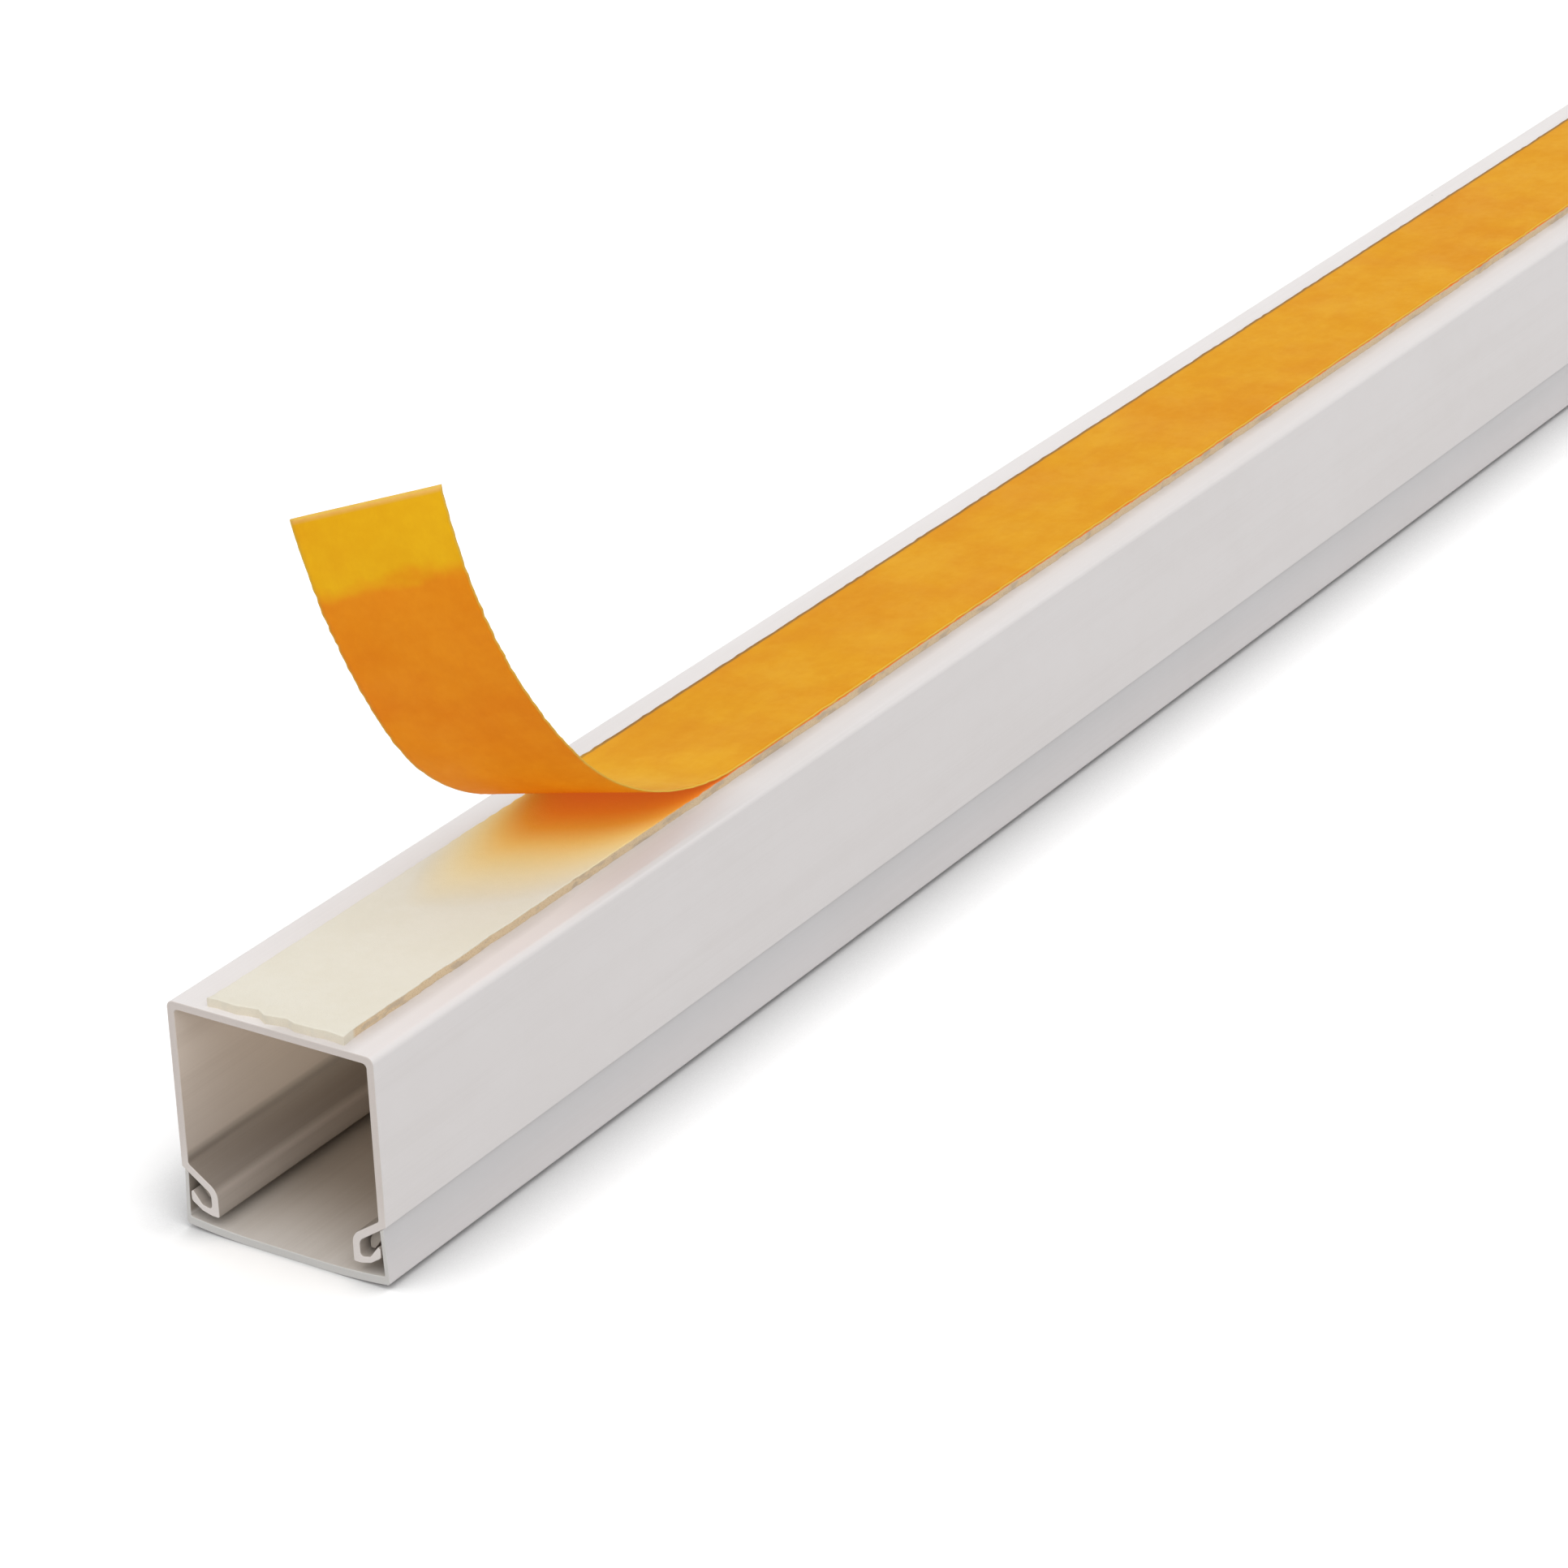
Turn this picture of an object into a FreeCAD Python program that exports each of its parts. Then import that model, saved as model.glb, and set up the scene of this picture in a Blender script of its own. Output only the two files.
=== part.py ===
import FreeCAD, Part
import os
import Sketcher

# Self-adhesive cord cover raceway, lying on its lid with its back up.
# Millimetres. +X runs along the length, +Z is up, and the origin is under the middle of the length,
# on the flat middle part of the bowed lid. The end with the peeled liner is at -X.
# Left and right are as seen from that end, looking along +X: left is +Y and right is -Y.

DRIVING_SIZES = [
    ("stock_length", 400.0, "length that the stock is sold in"),
    ("trunking_width", 25.0, "over the side walls"),
    ("trunking_height", 25.35, "from the lid's lowest line to the back's outer face"),
    ("wall_thickness", 0.85, "side walls"),
    ("back_thickness", 0.85, "wall that carries the tape"),
    ("outer_rounding", 0.8, "outer corners between back and side walls"),
    ("inner_rounding", 0.5, "inner corners between back and side walls"),
    ("shelf_slope", 34.0, "fall of the shelf from side wall to rail, in degrees"),
    ("shelf_thickness", 0.85, "slanted shelf between side wall and rail"),
    ("rail_web", 0.85, "upright web of a rail"),
    ("rail_gap", 0.7, "from the lid's plate, where it meets its flanges, up to the rails"),
    ("groove_height", 1.8, "from the groove's floor up to the shelf, at the web"),
    ("lip_thickness", 0.7, "lip that closes the groove from below"),
    ("lip_end", 0.95, "height of the lip's outer face"),
    ("lip_width", 1.3, "steep outer part of the lip, from its knee to its outer face"),
    ("lip_rise", 0.3, "rise of the groove's floor from the web to the knee"),
    ("lip_edge", 0.25, "bevel along the lip's top"),
    ("nose_rounding", 1.6, "rail's nose, between shelf and web"),
    ("roof_rounding", 0.9, "groove's roof, at the web"),
    ("floor_rounding", 0.4, "groove's floor, at the web"),
    ("foot_rounding", 0.2, "rail's foot, under the web"),
    ("knee_rounding", 0.8, "underside of the lip, at its knee"),
    ("lip_rounding", 0.5, "underside of the lip, at its outer face"),
    ("ledge_rounding", 0.4, "between shelf and side wall"),
    ("lid_plate", 0.9, "lid's plate"),
    ("lid_flat", 9.0, "flat middle part of the plate, on which the stock lies"),
    ("lid_bow", 0.55, "how far the plate curves up from there to its edges"),
    ("lid_corner", 0.35, "rounding between the plate and its flanges"),
    ("flange_thickness", 0.42, "lid's upright flanges, at their top"),
    ("flange_root", 0.55, "lid's upright flanges, at the plate"),
    ("flange_lean", 0.35, "how far a flange leans in at its top"),
    ("barb_thickness", 0.55, "barb that hooks over the lip"),
    ("barb_room", 0.55, "between the barb and the web of the rail"),
    ("barb_lift", 0.4, "from the groove's floor, at the lip's knee, up to the barb's tip"),
    ("barb_shoulder", 1.3, "rounding on the barb's shoulder"),
    ("barb_point", 0.2, "rounding on the barb's tip"),
    ("hook_gap", 1.35, "from the root of a barb down to the lip that it hooks over"),
    ("lid_clearance", 0.1, "between lid and channel, so that the lid can run"),
    ("tape_width", 16.2, "foam tape and its liner"),
    ("tape_thickness", 1.0, "foam tape"),
    ("tape_shift", 0.3, "how far the tape lies off the middle, to the right"),
    ("tape_setback", 0.9, "from the cut ends of the stock to the tape"),
    ("liner_thickness", 0.25, "release liner"),
    ("right_peel", 70.4, "cut end to where the liner's right edge leaves the tape"),
    ("right_curl_radius", 39.7, "first bend of the right edge"),
    ("right_curl_angle", 46.8, "slope at the end of that bend, in degrees"),
    ("right_rise_radius", 80.8, "second bend of the right edge"),
    ("right_tip_angle", 76.3, "slope at the right corner of the tip, in degrees"),
    ("left_peel", 60.0, "cut end to where the liner's left edge leaves the tape"),
    ("left_curl_radius", 34.2, "first bend of the left edge"),
    ("left_curl_angle", 56.4, "slope at the end of that bend, in degrees"),
    ("left_rise_radius", 97.5, "second bend of the left edge"),
    ("left_tip_angle", 74.5, "slope at the left corner of the tip, in degrees"),
]

doc = FreeCAD.newDocument("CordCoverRaceway")


def fill_sheet():
    """Writes each driving size into the sheet as a named cell."""
    sheet = doc.addObject("Spreadsheet::Sheet", "Sizes")
    for row, (alias, size, note) in enumerate(DRIVING_SIZES, start=1):
        sheet.set(f"A{row}", alias)
        sheet.set(f"B{row}", str(size))
        sheet.set(f"C{row}", note)
        sheet.setAlias(f"B{row}", alias)
    doc.recompute()
    return sheet


sizes = fill_sheet()

# Numbers by which a sketch knows its axes and the points of its edges.
HORIZONTAL_AXIS = -1
VERTICAL_AXIS = HORIZONTAL_AXIS - 1
START = 1
END = START + 1
CENTRE = END + 1
ORIGIN = (HORIZONTAL_AXIS, START)


def new_body(name):
    """Starts one sub-part, labelled with the name of its file."""
    body = doc.addObject("PartDesign::Body", name)
    body.Label = name
    body.Placement = FreeCAD.Placement()
    return body


def origin_plane(body, role):
    """Finds one of the body's own origin planes by its role."""
    return next(item for item in body.Origin.OriginFeatures if item.Role == role)


def new_sketch(body, name, role):
    """Lays an empty sketch on an origin plane of its body."""
    sketch = body.newObject("Sketcher::SketchObject", name)
    sketch.AttachmentSupport = (origin_plane(body, role), [""])
    sketch.MapMode = "FlatFace"
    return sketch


def solve(formula):
    """Works out a formula of the sheet as a plain number."""
    return float(sizes.evalExpression(formula))


def pin_coordinate(sketch, kind, axis, point, formula):
    """Ties one coordinate of a sketch point to a formula of the sheet."""
    if formula == "0":
        sketch.addConstraint(Sketcher.Constraint("PointOnObject", *point, axis))
        return
    index = sketch.addConstraint(Sketcher.Constraint(kind, *ORIGIN, *point, solve(formula)))
    sketch.setExpression(f"Constraints[{index}]", formula)


def pin_point(sketch, point, across, up):
    """Ties a sketch point to two formulas, its places across and up."""
    pin_coordinate(sketch, "DistanceX", VERTICAL_AXIS, point, across)
    pin_coordinate(sketch, "DistanceY", HORIZONTAL_AXIS, point, up)


def add_line(sketch, start, end):
    """Draws a line between two pairs of formulas."""
    corners = [FreeCAD.Vector(solve(across), solve(up), 0) for across, up in (start, end)]
    return sketch.addGeometry(Part.LineSegment(*corners))


def close_chain(sketch, edges):
    """Joins each edge of a chain to the next one, and the last to the first."""
    for edge, following in zip(edges, edges[1:] + edges[:1]):
        sketch.addConstraint(Sketcher.Constraint("Coincident", edge, END, following, START))


def draw_outline(sketch, corners):
    """Draws a closed outline of straight edges through the corners, each a pair of formulas."""
    edges = [add_line(sketch, corner, corners[number - len(corners) + 1])
             for number, corner in enumerate(corners)]
    close_chain(sketch, edges)
    for edge, corner in zip(edges, corners):
        pin_point(sketch, (edge, START), *corner)


def extrude_along(body, sketch):
    """Extrudes half a section over the whole length and mirrors it to the other side."""
    sketch.setExpression("AttachmentOffset.Base.z", "-Sizes.stock_length / 2")
    pad = body.newObject("PartDesign::Pad", f"{body.Name}_half")
    pad.Profile = sketch
    pad.setExpression("Length", "Sizes.stock_length")
    doc.recompute()
    whole = body.newObject("PartDesign::Mirrored", f"{body.Name}_whole")
    whole.Originals = [pad]
    whole.MirrorPlane = (origin_plane(body, "XZ_Plane"), [""])
    whole.Refine = True
    body.Tip = whole
    doc.recompute()
    return whole


def long_edges_at(shape, across, up):
    """Names the edges that run along the length at a distance across, on both sides, and a height."""
    names = []
    for number, edge in enumerate(shape.Edges, start=1):
        box = edge.BoundBox
        runs_along = box.XLength > solve("Sizes.stock_length") / 2
        off_place = max(abs(abs(box.Center.y) - across), abs(box.Center.z - up))
        if runs_along and off_place < 1e-4:
            names.append(f"Edge{number}")
    return names


def round_long_edges(body, base, roundings):
    """Rounds pairs of long edges in turn, each by the alias of its radius and its place on the section."""
    for alias, across, up in roundings:
        names = long_edges_at(base.Shape, solve(across), solve(up))
        if not names:
            raise RuntimeError(f"{body.Label} has no edge for {alias}")
        fillet = body.newObject("PartDesign::Fillet", f"{body.Name}_{alias}")
        fillet.Base = (base, names)
        fillet.setExpression("Radius", f"Sizes.{alias}")
        body.Tip = fillet
        doc.recompute()
        base = fillet


HALF_WIDTH = "Sizes.trunking_width / 2"
WALL_INSIDE = f"({HALF_WIDTH} - Sizes.wall_thickness)"
BACK_TOP = "Sizes.trunking_height"
BACK_INSIDE = "(Sizes.trunking_height - Sizes.back_thickness)"

# Distances from the middle plane, worked inward from the side face: the lid's flange, the channel's lip,
# the lid's barb and the web of the channel's rail, with room between them.
FLANGE_TOP_ACROSS = f"({HALF_WIDTH} - Sizes.flange_lean)"
FLANGE_INSIDE = f"({FLANGE_TOP_ACROSS} - Sizes.flange_thickness)"
FLANGE_ROOT_INSIDE = f"({HALF_WIDTH} - Sizes.flange_root)"
LIP_OUTSIDE = f"({FLANGE_INSIDE} - Sizes.lid_clearance)"
LIP_KNEE = f"({LIP_OUTSIDE} - Sizes.lip_width)"
BARB_OUTSIDE = f"({LIP_KNEE} - Sizes.lid_clearance)"
BARB_INSIDE = f"({BARB_OUTSIDE} - Sizes.barb_thickness)"
WEB_OUTSIDE = f"({BARB_INSIDE} - Sizes.barb_room)"
WEB_INSIDE = f"({WEB_OUTSIDE} - Sizes.rail_web)"

# Heights, worked up from the lid's plate.
RAIL_FOOT = "(Sizes.lid_plate + Sizes.lid_bow + Sizes.rail_gap)"
GROOVE_FLOOR = f"({RAIL_FOOT} + Sizes.lip_thickness)"
BARB_TIP = f"({GROOVE_FLOOR} + Sizes.lip_rise + Sizes.barb_lift)"


def under_shelf(across):
    """Gives the height of the shelf's lower face at a distance from the middle."""
    return f"({GROOVE_FLOOR} + Sizes.groove_height + ({across} - {WEB_OUTSIDE}) * tan(Sizes.shelf_slope))"


def over_shelf(across):
    """Gives the height of the shelf's upper face at a distance from the middle."""
    return f"({under_shelf(across)} + Sizes.shelf_thickness / cos(Sizes.shelf_slope))"


def over_barb(across):
    """Gives the height of a barb's upper face, one clearance under the shelf."""
    return f"({under_shelf(across)} - Sizes.lid_clearance / cos(Sizes.shelf_slope))"


BARB_ROOT = f"({over_barb(FLANGE_INSIDE)} - Sizes.barb_thickness / cos(Sizes.shelf_slope))"
LIP_TOP = f"({BARB_ROOT} - Sizes.hook_gap)"


def make_base_channel():
    """Makes the channel: back, side walls, slanted shelves and the C-shaped rails."""
    body = new_body("base_channel")
    sketch = new_sketch(body, "channel_half_section", "YZ_Plane")
    corners = [
        ("0", BACK_TOP),
        (HALF_WIDTH, BACK_TOP),
        (HALF_WIDTH, under_shelf(HALF_WIDTH)),
        (WEB_OUTSIDE, under_shelf(WEB_OUTSIDE)),
        (WEB_OUTSIDE, GROOVE_FLOOR),
        (LIP_KNEE, f"{GROOVE_FLOOR} + Sizes.lip_rise"),
        (f"{LIP_OUTSIDE} - Sizes.lip_edge", f"{LIP_TOP} + Sizes.lip_edge"),
        (LIP_OUTSIDE, LIP_TOP),
        (LIP_OUTSIDE, f"{LIP_TOP} - Sizes.lip_end"),
        (LIP_KNEE, f"{RAIL_FOOT} + Sizes.lip_rise"),
        (WEB_OUTSIDE, RAIL_FOOT),
        (WEB_INSIDE, RAIL_FOOT),
        (WEB_INSIDE, over_shelf(WEB_INSIDE)),
        (WALL_INSIDE, over_shelf(WALL_INSIDE)),
        (WALL_INSIDE, BACK_INSIDE),
        ("0", BACK_INSIDE),
    ]
    draw_outline(sketch, corners)
    whole = extrude_along(body, sketch)
    round_long_edges(body, whole, [
        ("outer_rounding", HALF_WIDTH, BACK_TOP),
        ("inner_rounding", WALL_INSIDE, BACK_INSIDE),
        ("ledge_rounding", WALL_INSIDE, over_shelf(WALL_INSIDE)),
        ("nose_rounding", WEB_INSIDE, over_shelf(WEB_INSIDE)),
        ("foot_rounding", WEB_INSIDE, RAIL_FOOT),
        ("roof_rounding", WEB_OUTSIDE, under_shelf(WEB_OUTSIDE)),
        ("floor_rounding", WEB_OUTSIDE, GROOVE_FLOOR),
        ("knee_rounding", LIP_KNEE, f"{RAIL_FOOT} + Sizes.lip_rise"),
        ("lip_rounding", LIP_OUTSIDE, f"{LIP_TOP} - Sizes.lip_end"),
    ])
    return body


FLAT_EDGE = "Sizes.lid_flat / 2"


def add_bowed_edge(sketch, flat_height, end_across, end_height):
    """Draws one face of the bowed plate as an arc that runs smoothly on from its flat middle part."""
    first = solve(FLAT_EDGE)
    rise = solve(end_height) - solve(flat_height)
    reach = solve(end_across) - first
    radius = (reach ** 2 + rise ** 2) / (2 * rise)
    centre = FreeCAD.Vector(first, solve(flat_height) + radius, 0)
    circle = Part.Circle(centre, FreeCAD.Vector(0, 0, 1), radius)
    lowest = circle.parameter(FreeCAD.Vector(first, solve(flat_height), 0))
    last = circle.parameter(FreeCAD.Vector(first + reach, solve(end_height), 0))
    return sketch.addGeometry(Part.ArcOfCircle(circle, lowest, last))


def make_lid():
    """Makes the lid: a bowed plate with flanges and barbs that hook over the rails' lips."""
    body = new_body("lid")
    sketch = new_sketch(body, "lid_half_section", "YZ_Plane")
    plate_top = "Sizes.lid_plate"
    plate_top_at_flange = "Sizes.lid_plate + Sizes.lid_bow"
    corners = [
        (HALF_WIDTH, "Sizes.lid_bow"),
        (FLANGE_TOP_ACROSS, over_barb(FLANGE_TOP_ACROSS)),
        (BARB_INSIDE, over_barb(BARB_INSIDE)),
        (BARB_INSIDE, BARB_TIP),
        (BARB_OUTSIDE, BARB_TIP),
        (FLANGE_INSIDE, BARB_ROOT),
        (FLANGE_ROOT_INSIDE, plate_top_at_flange),
    ]
    outer_flat = add_line(sketch, ("0", "0"), (FLAT_EDGE, "0"))
    outer_bow = add_bowed_edge(sketch, "0", *corners[0])
    straight = [add_line(sketch, *pair) for pair in zip(corners, corners[1:])]
    inner_bow = add_bowed_edge(sketch, plate_top, *corners[-1])
    inner_flat = add_line(sketch, (FLAT_EDGE, plate_top), ("0", plate_top))
    middle = add_line(sketch, ("0", plate_top), ("0", "0"))
    for edge, corner in zip(straight, corners):
        pin_point(sketch, (edge, START), *corner)
    pin_coordinate(sketch, "DistanceX", VERTICAL_AXIS, (straight[-1], END), corners[-1][0])
    pin_point(sketch, (outer_flat, START), "0", "0")
    pin_point(sketch, (outer_flat, END), FLAT_EDGE, "0")
    pin_point(sketch, (inner_flat, START), FLAT_EDGE, plate_top)
    pin_point(sketch, (inner_flat, END), "0", plate_top)
    pin_coordinate(sketch, "DistanceX", VERTICAL_AXIS, (outer_bow, CENTRE), FLAT_EDGE)
    sketch.addConstraint(Sketcher.Constraint("Coincident", inner_bow, CENTRE, outer_bow, CENTRE))
    sketch.addConstraint(Sketcher.Constraint("Coincident", outer_flat, END, outer_bow, START))
    for first, second in zip([outer_bow] + straight, straight):
        sketch.addConstraint(Sketcher.Constraint("Coincident", first, END, second, START))
    sketch.addConstraint(Sketcher.Constraint("Coincident", straight[-1], END, inner_bow, END))
    sketch.addConstraint(Sketcher.Constraint("Coincident", inner_bow, START, inner_flat, START))
    sketch.addConstraint(Sketcher.Constraint("Coincident", inner_flat, END, middle, START))
    sketch.addConstraint(Sketcher.Constraint("Coincident", middle, END, outer_flat, START))
    whole = extrude_along(body, sketch)
    round_long_edges(body, whole, [
        ("lid_corner", HALF_WIDTH, "Sizes.lid_bow"),
        ("barb_shoulder", BARB_INSIDE, over_barb(BARB_INSIDE)),
        ("barb_point", BARB_INSIDE, BARB_TIP),
    ])
    return body


TAPE_TOP = "(Sizes.trunking_height + Sizes.tape_thickness)"


def make_foam_tape():
    """Makes the foam tape along the back."""
    body = new_body("foam_tape")
    sketch = new_sketch(body, "tape_plan", "XY_Plane")
    sketch.setExpression("AttachmentOffset.Base.x", "-Sizes.stock_length / 2")
    sketch.setExpression("AttachmentOffset.Base.y", "-Sizes.tape_width / 2 - Sizes.tape_shift")
    sketch.setExpression("AttachmentOffset.Base.z", BACK_TOP)
    first = "Sizes.tape_setback"
    last = "Sizes.stock_length - Sizes.tape_setback"
    across = "Sizes.tape_width"
    draw_outline(sketch, [(first, "0"), (last, "0"), (last, across), (first, across)])
    pad = body.newObject("PartDesign::Pad", "tape_pad")
    pad.Profile = sketch
    pad.setExpression("Length", "Sizes.tape_thickness")
    doc.recompute()
    return body


def curl_place(side, angle, across_centre, up_centre, radius):
    """Gives the formulas of the point of a bend whose slope is the given angle."""
    across = f"{across_centre} - ({radius}) * sin(Sizes.{side}_{angle})"
    up = f"{up_centre} - ({radius}) * cos(Sizes.{side}_{angle})"
    return across, up


def add_bend(sketch, centre, radius, start, end):
    """Draws an arc that bends up from start to end about a centre, all pairs of formulas."""
    middle = FreeCAD.Vector(solve(centre[0]), solve(centre[1]), 0)
    ends = [FreeCAD.Vector(solve(across), solve(up), 0) for across, up in (start, end)]
    circle = Part.Circle(middle, FreeCAD.Vector(0, 0, 1), solve(radius))
    arc = sketch.addGeometry(Part.ArcOfCircle(circle, circle.parameter(ends[1]), circle.parameter(ends[0])))
    index = sketch.addConstraint(Sketcher.Constraint("Radius", arc, solve(radius)))
    sketch.setExpression(f"Constraints[{index}]", radius)
    return arc


def draw_liner_edge(body, side, offset):
    """Draws the liner's thickness along one of its edges: flat on the tape, then two bends up."""
    sketch = new_sketch(body, f"liner_{side}_edge", "XZ_Plane")
    sketch.setExpression("AttachmentOffset.Base.x", "-Sizes.stock_length / 2")
    sketch.setExpression("AttachmentOffset.Base.z", offset)
    peel = f"Sizes.{side}_peel"
    curl, rise = f"Sizes.{side}_curl_radius", f"Sizes.{side}_rise_radius"
    far_end = "(Sizes.stock_length - Sizes.tape_setback)"
    curl_centre = (peel, f"{TAPE_TOP} + {curl}")
    rise_centre = curl_place(side, "curl_angle", curl_centre[0], curl_centre[1], f"{curl} - {rise}")
    faces = []
    for inset in ("0", "Sizes.liner_thickness"):
        level = TAPE_TOP if inset == "0" else f"{TAPE_TOP} + {inset}"
        faces.append([
            (far_end, level),
            (peel, level),
            curl_place(side, "curl_angle", *curl_centre, f"{curl} - {inset}"),
            curl_place(side, "tip_angle", *rise_centre, f"{rise} - {inset}"),
        ])
    under, over = faces
    chain = [
        (add_line(sketch, under[0], under[1]), START, END),
        (add_bend(sketch, curl_centre, curl, under[1], under[2]), END, START),
        (add_bend(sketch, rise_centre, rise, under[2], under[3]), END, START),
        (add_line(sketch, under[3], over[3]), START, END),
        (add_bend(sketch, rise_centre, f"{rise} - Sizes.liner_thickness", over[2], over[3]), START, END),
        (add_bend(sketch, curl_centre, f"{curl} - Sizes.liner_thickness", over[1], over[2]), START, END),
        (add_line(sketch, over[1], over[0]), START, END),
        (add_line(sketch, over[0], under[0]), START, END),
    ]
    corners = under + over[::-1]
    for (edge, first, last), (following, next_first, next_last) in zip(chain, chain[1:] + chain[:1]):
        sketch.addConstraint(Sketcher.Constraint("Coincident", edge, last, following, next_first))
    for (edge, first, last), corner in zip(chain, corners):
        pin_point(sketch, (edge, first), *corner)
    return sketch


def make_release_liner():
    """Makes the liner as a ruled strip between its two edges, peeled further on the right edge."""
    body = new_body("release_liner")
    right = draw_liner_edge(body, "right", "Sizes.tape_width / 2 + Sizes.tape_shift")
    left = draw_liner_edge(body, "left", "Sizes.tape_shift - Sizes.tape_width / 2")
    strip = body.newObject("PartDesign::AdditiveLoft", "liner_strip")
    strip.Profile = right
    strip.Sections = [left]
    strip.Ruled = True
    doc.recompute()
    return body


def check_document(bodies):
    """Stops unless every object is sound and every sub-part has a valid shape."""
    for item in doc.Objects:
        if "Invalid" in item.State or "Error" in item.State:
            raise RuntimeError(f"{item.Name} failed: {item.State}")
    for body in bodies:
        if body.Shape.isNull() or not body.Shape.isValid():
            raise RuntimeError(f"{body.Label} has no valid shape")


def write_parts(bodies):
    """Writes each sub-part to its own file and prints its size."""
    os.makedirs("parts", exist_ok=True)
    for body in bodies:
        box = body.Shape.BoundBox
        body.Shape.exportStep(f"parts/{body.Label}.step")
        print(f"{body.Label}: {body.Shape.Volume / 1000:.2f} cm3, {len(body.Shape.Faces)} faces,"
              f" {box.XLength:.2f} x {box.YLength:.2f} x {box.ZLength:.2f} mm")


bodies = [make_base_channel(), make_lid(), make_foam_tape(), make_release_liner()]
doc.recompute()
check_document(bodies)
write_parts(bodies)
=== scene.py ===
import logging
import math
from dataclasses import dataclass
from enum import Enum

import bmesh
import bpy
from mathutils import Matrix, Vector, noise


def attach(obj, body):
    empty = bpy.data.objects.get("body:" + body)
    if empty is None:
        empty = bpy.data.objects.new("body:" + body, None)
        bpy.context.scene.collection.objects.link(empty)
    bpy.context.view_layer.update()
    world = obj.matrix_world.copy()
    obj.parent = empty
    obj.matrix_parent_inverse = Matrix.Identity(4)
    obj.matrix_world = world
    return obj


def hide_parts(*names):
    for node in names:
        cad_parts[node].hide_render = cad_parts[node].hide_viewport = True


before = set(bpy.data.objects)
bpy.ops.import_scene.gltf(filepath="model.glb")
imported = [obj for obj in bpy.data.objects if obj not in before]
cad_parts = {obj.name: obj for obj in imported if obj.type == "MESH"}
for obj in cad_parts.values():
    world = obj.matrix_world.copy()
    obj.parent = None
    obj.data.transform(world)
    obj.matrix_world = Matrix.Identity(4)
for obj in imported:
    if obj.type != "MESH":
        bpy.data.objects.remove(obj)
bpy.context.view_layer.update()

logging.basicConfig(level=logging.INFO, format="%(message)s")
log = logging.getLogger("cord_cover")

MM = 0.001
Colour = tuple[float, float, float]
Socket = bpy.types.NodeSocket
Feed = Socket | float | tuple[float, ...]
BLACK: Colour = (0.0, 0.0, 0.0)
# The sockets of a Mix node that blends colours
MIX_FACTOR, MIX_FIRST, MIX_SECOND, MIX_RESULT = 0, 6, 7, 2
OCCLUSION_SAMPLES = 8
# How near points of a section merge, and how near a corner its long edges are found, in metres
MERGED_WITHIN, FOUND_WITHIN = 1e-7, 1e-6
# A face whose normal has more than this along the length is a cut end
END_FACING = 0.9
# The liner's map counts in tenths of a metre
MAP_SCALE = 10.0


class Body(Enum):
    """The moving bodies of the cord cover."""

    CHANNEL = "channel"
    COVER = "cover"


class Slot(Enum):
    """The record's material slots."""

    CHANNEL = "channel_pvc"
    LID = "lid_pvc"
    TAPE = "foam_tape"
    LINER = "release_paper"


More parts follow.
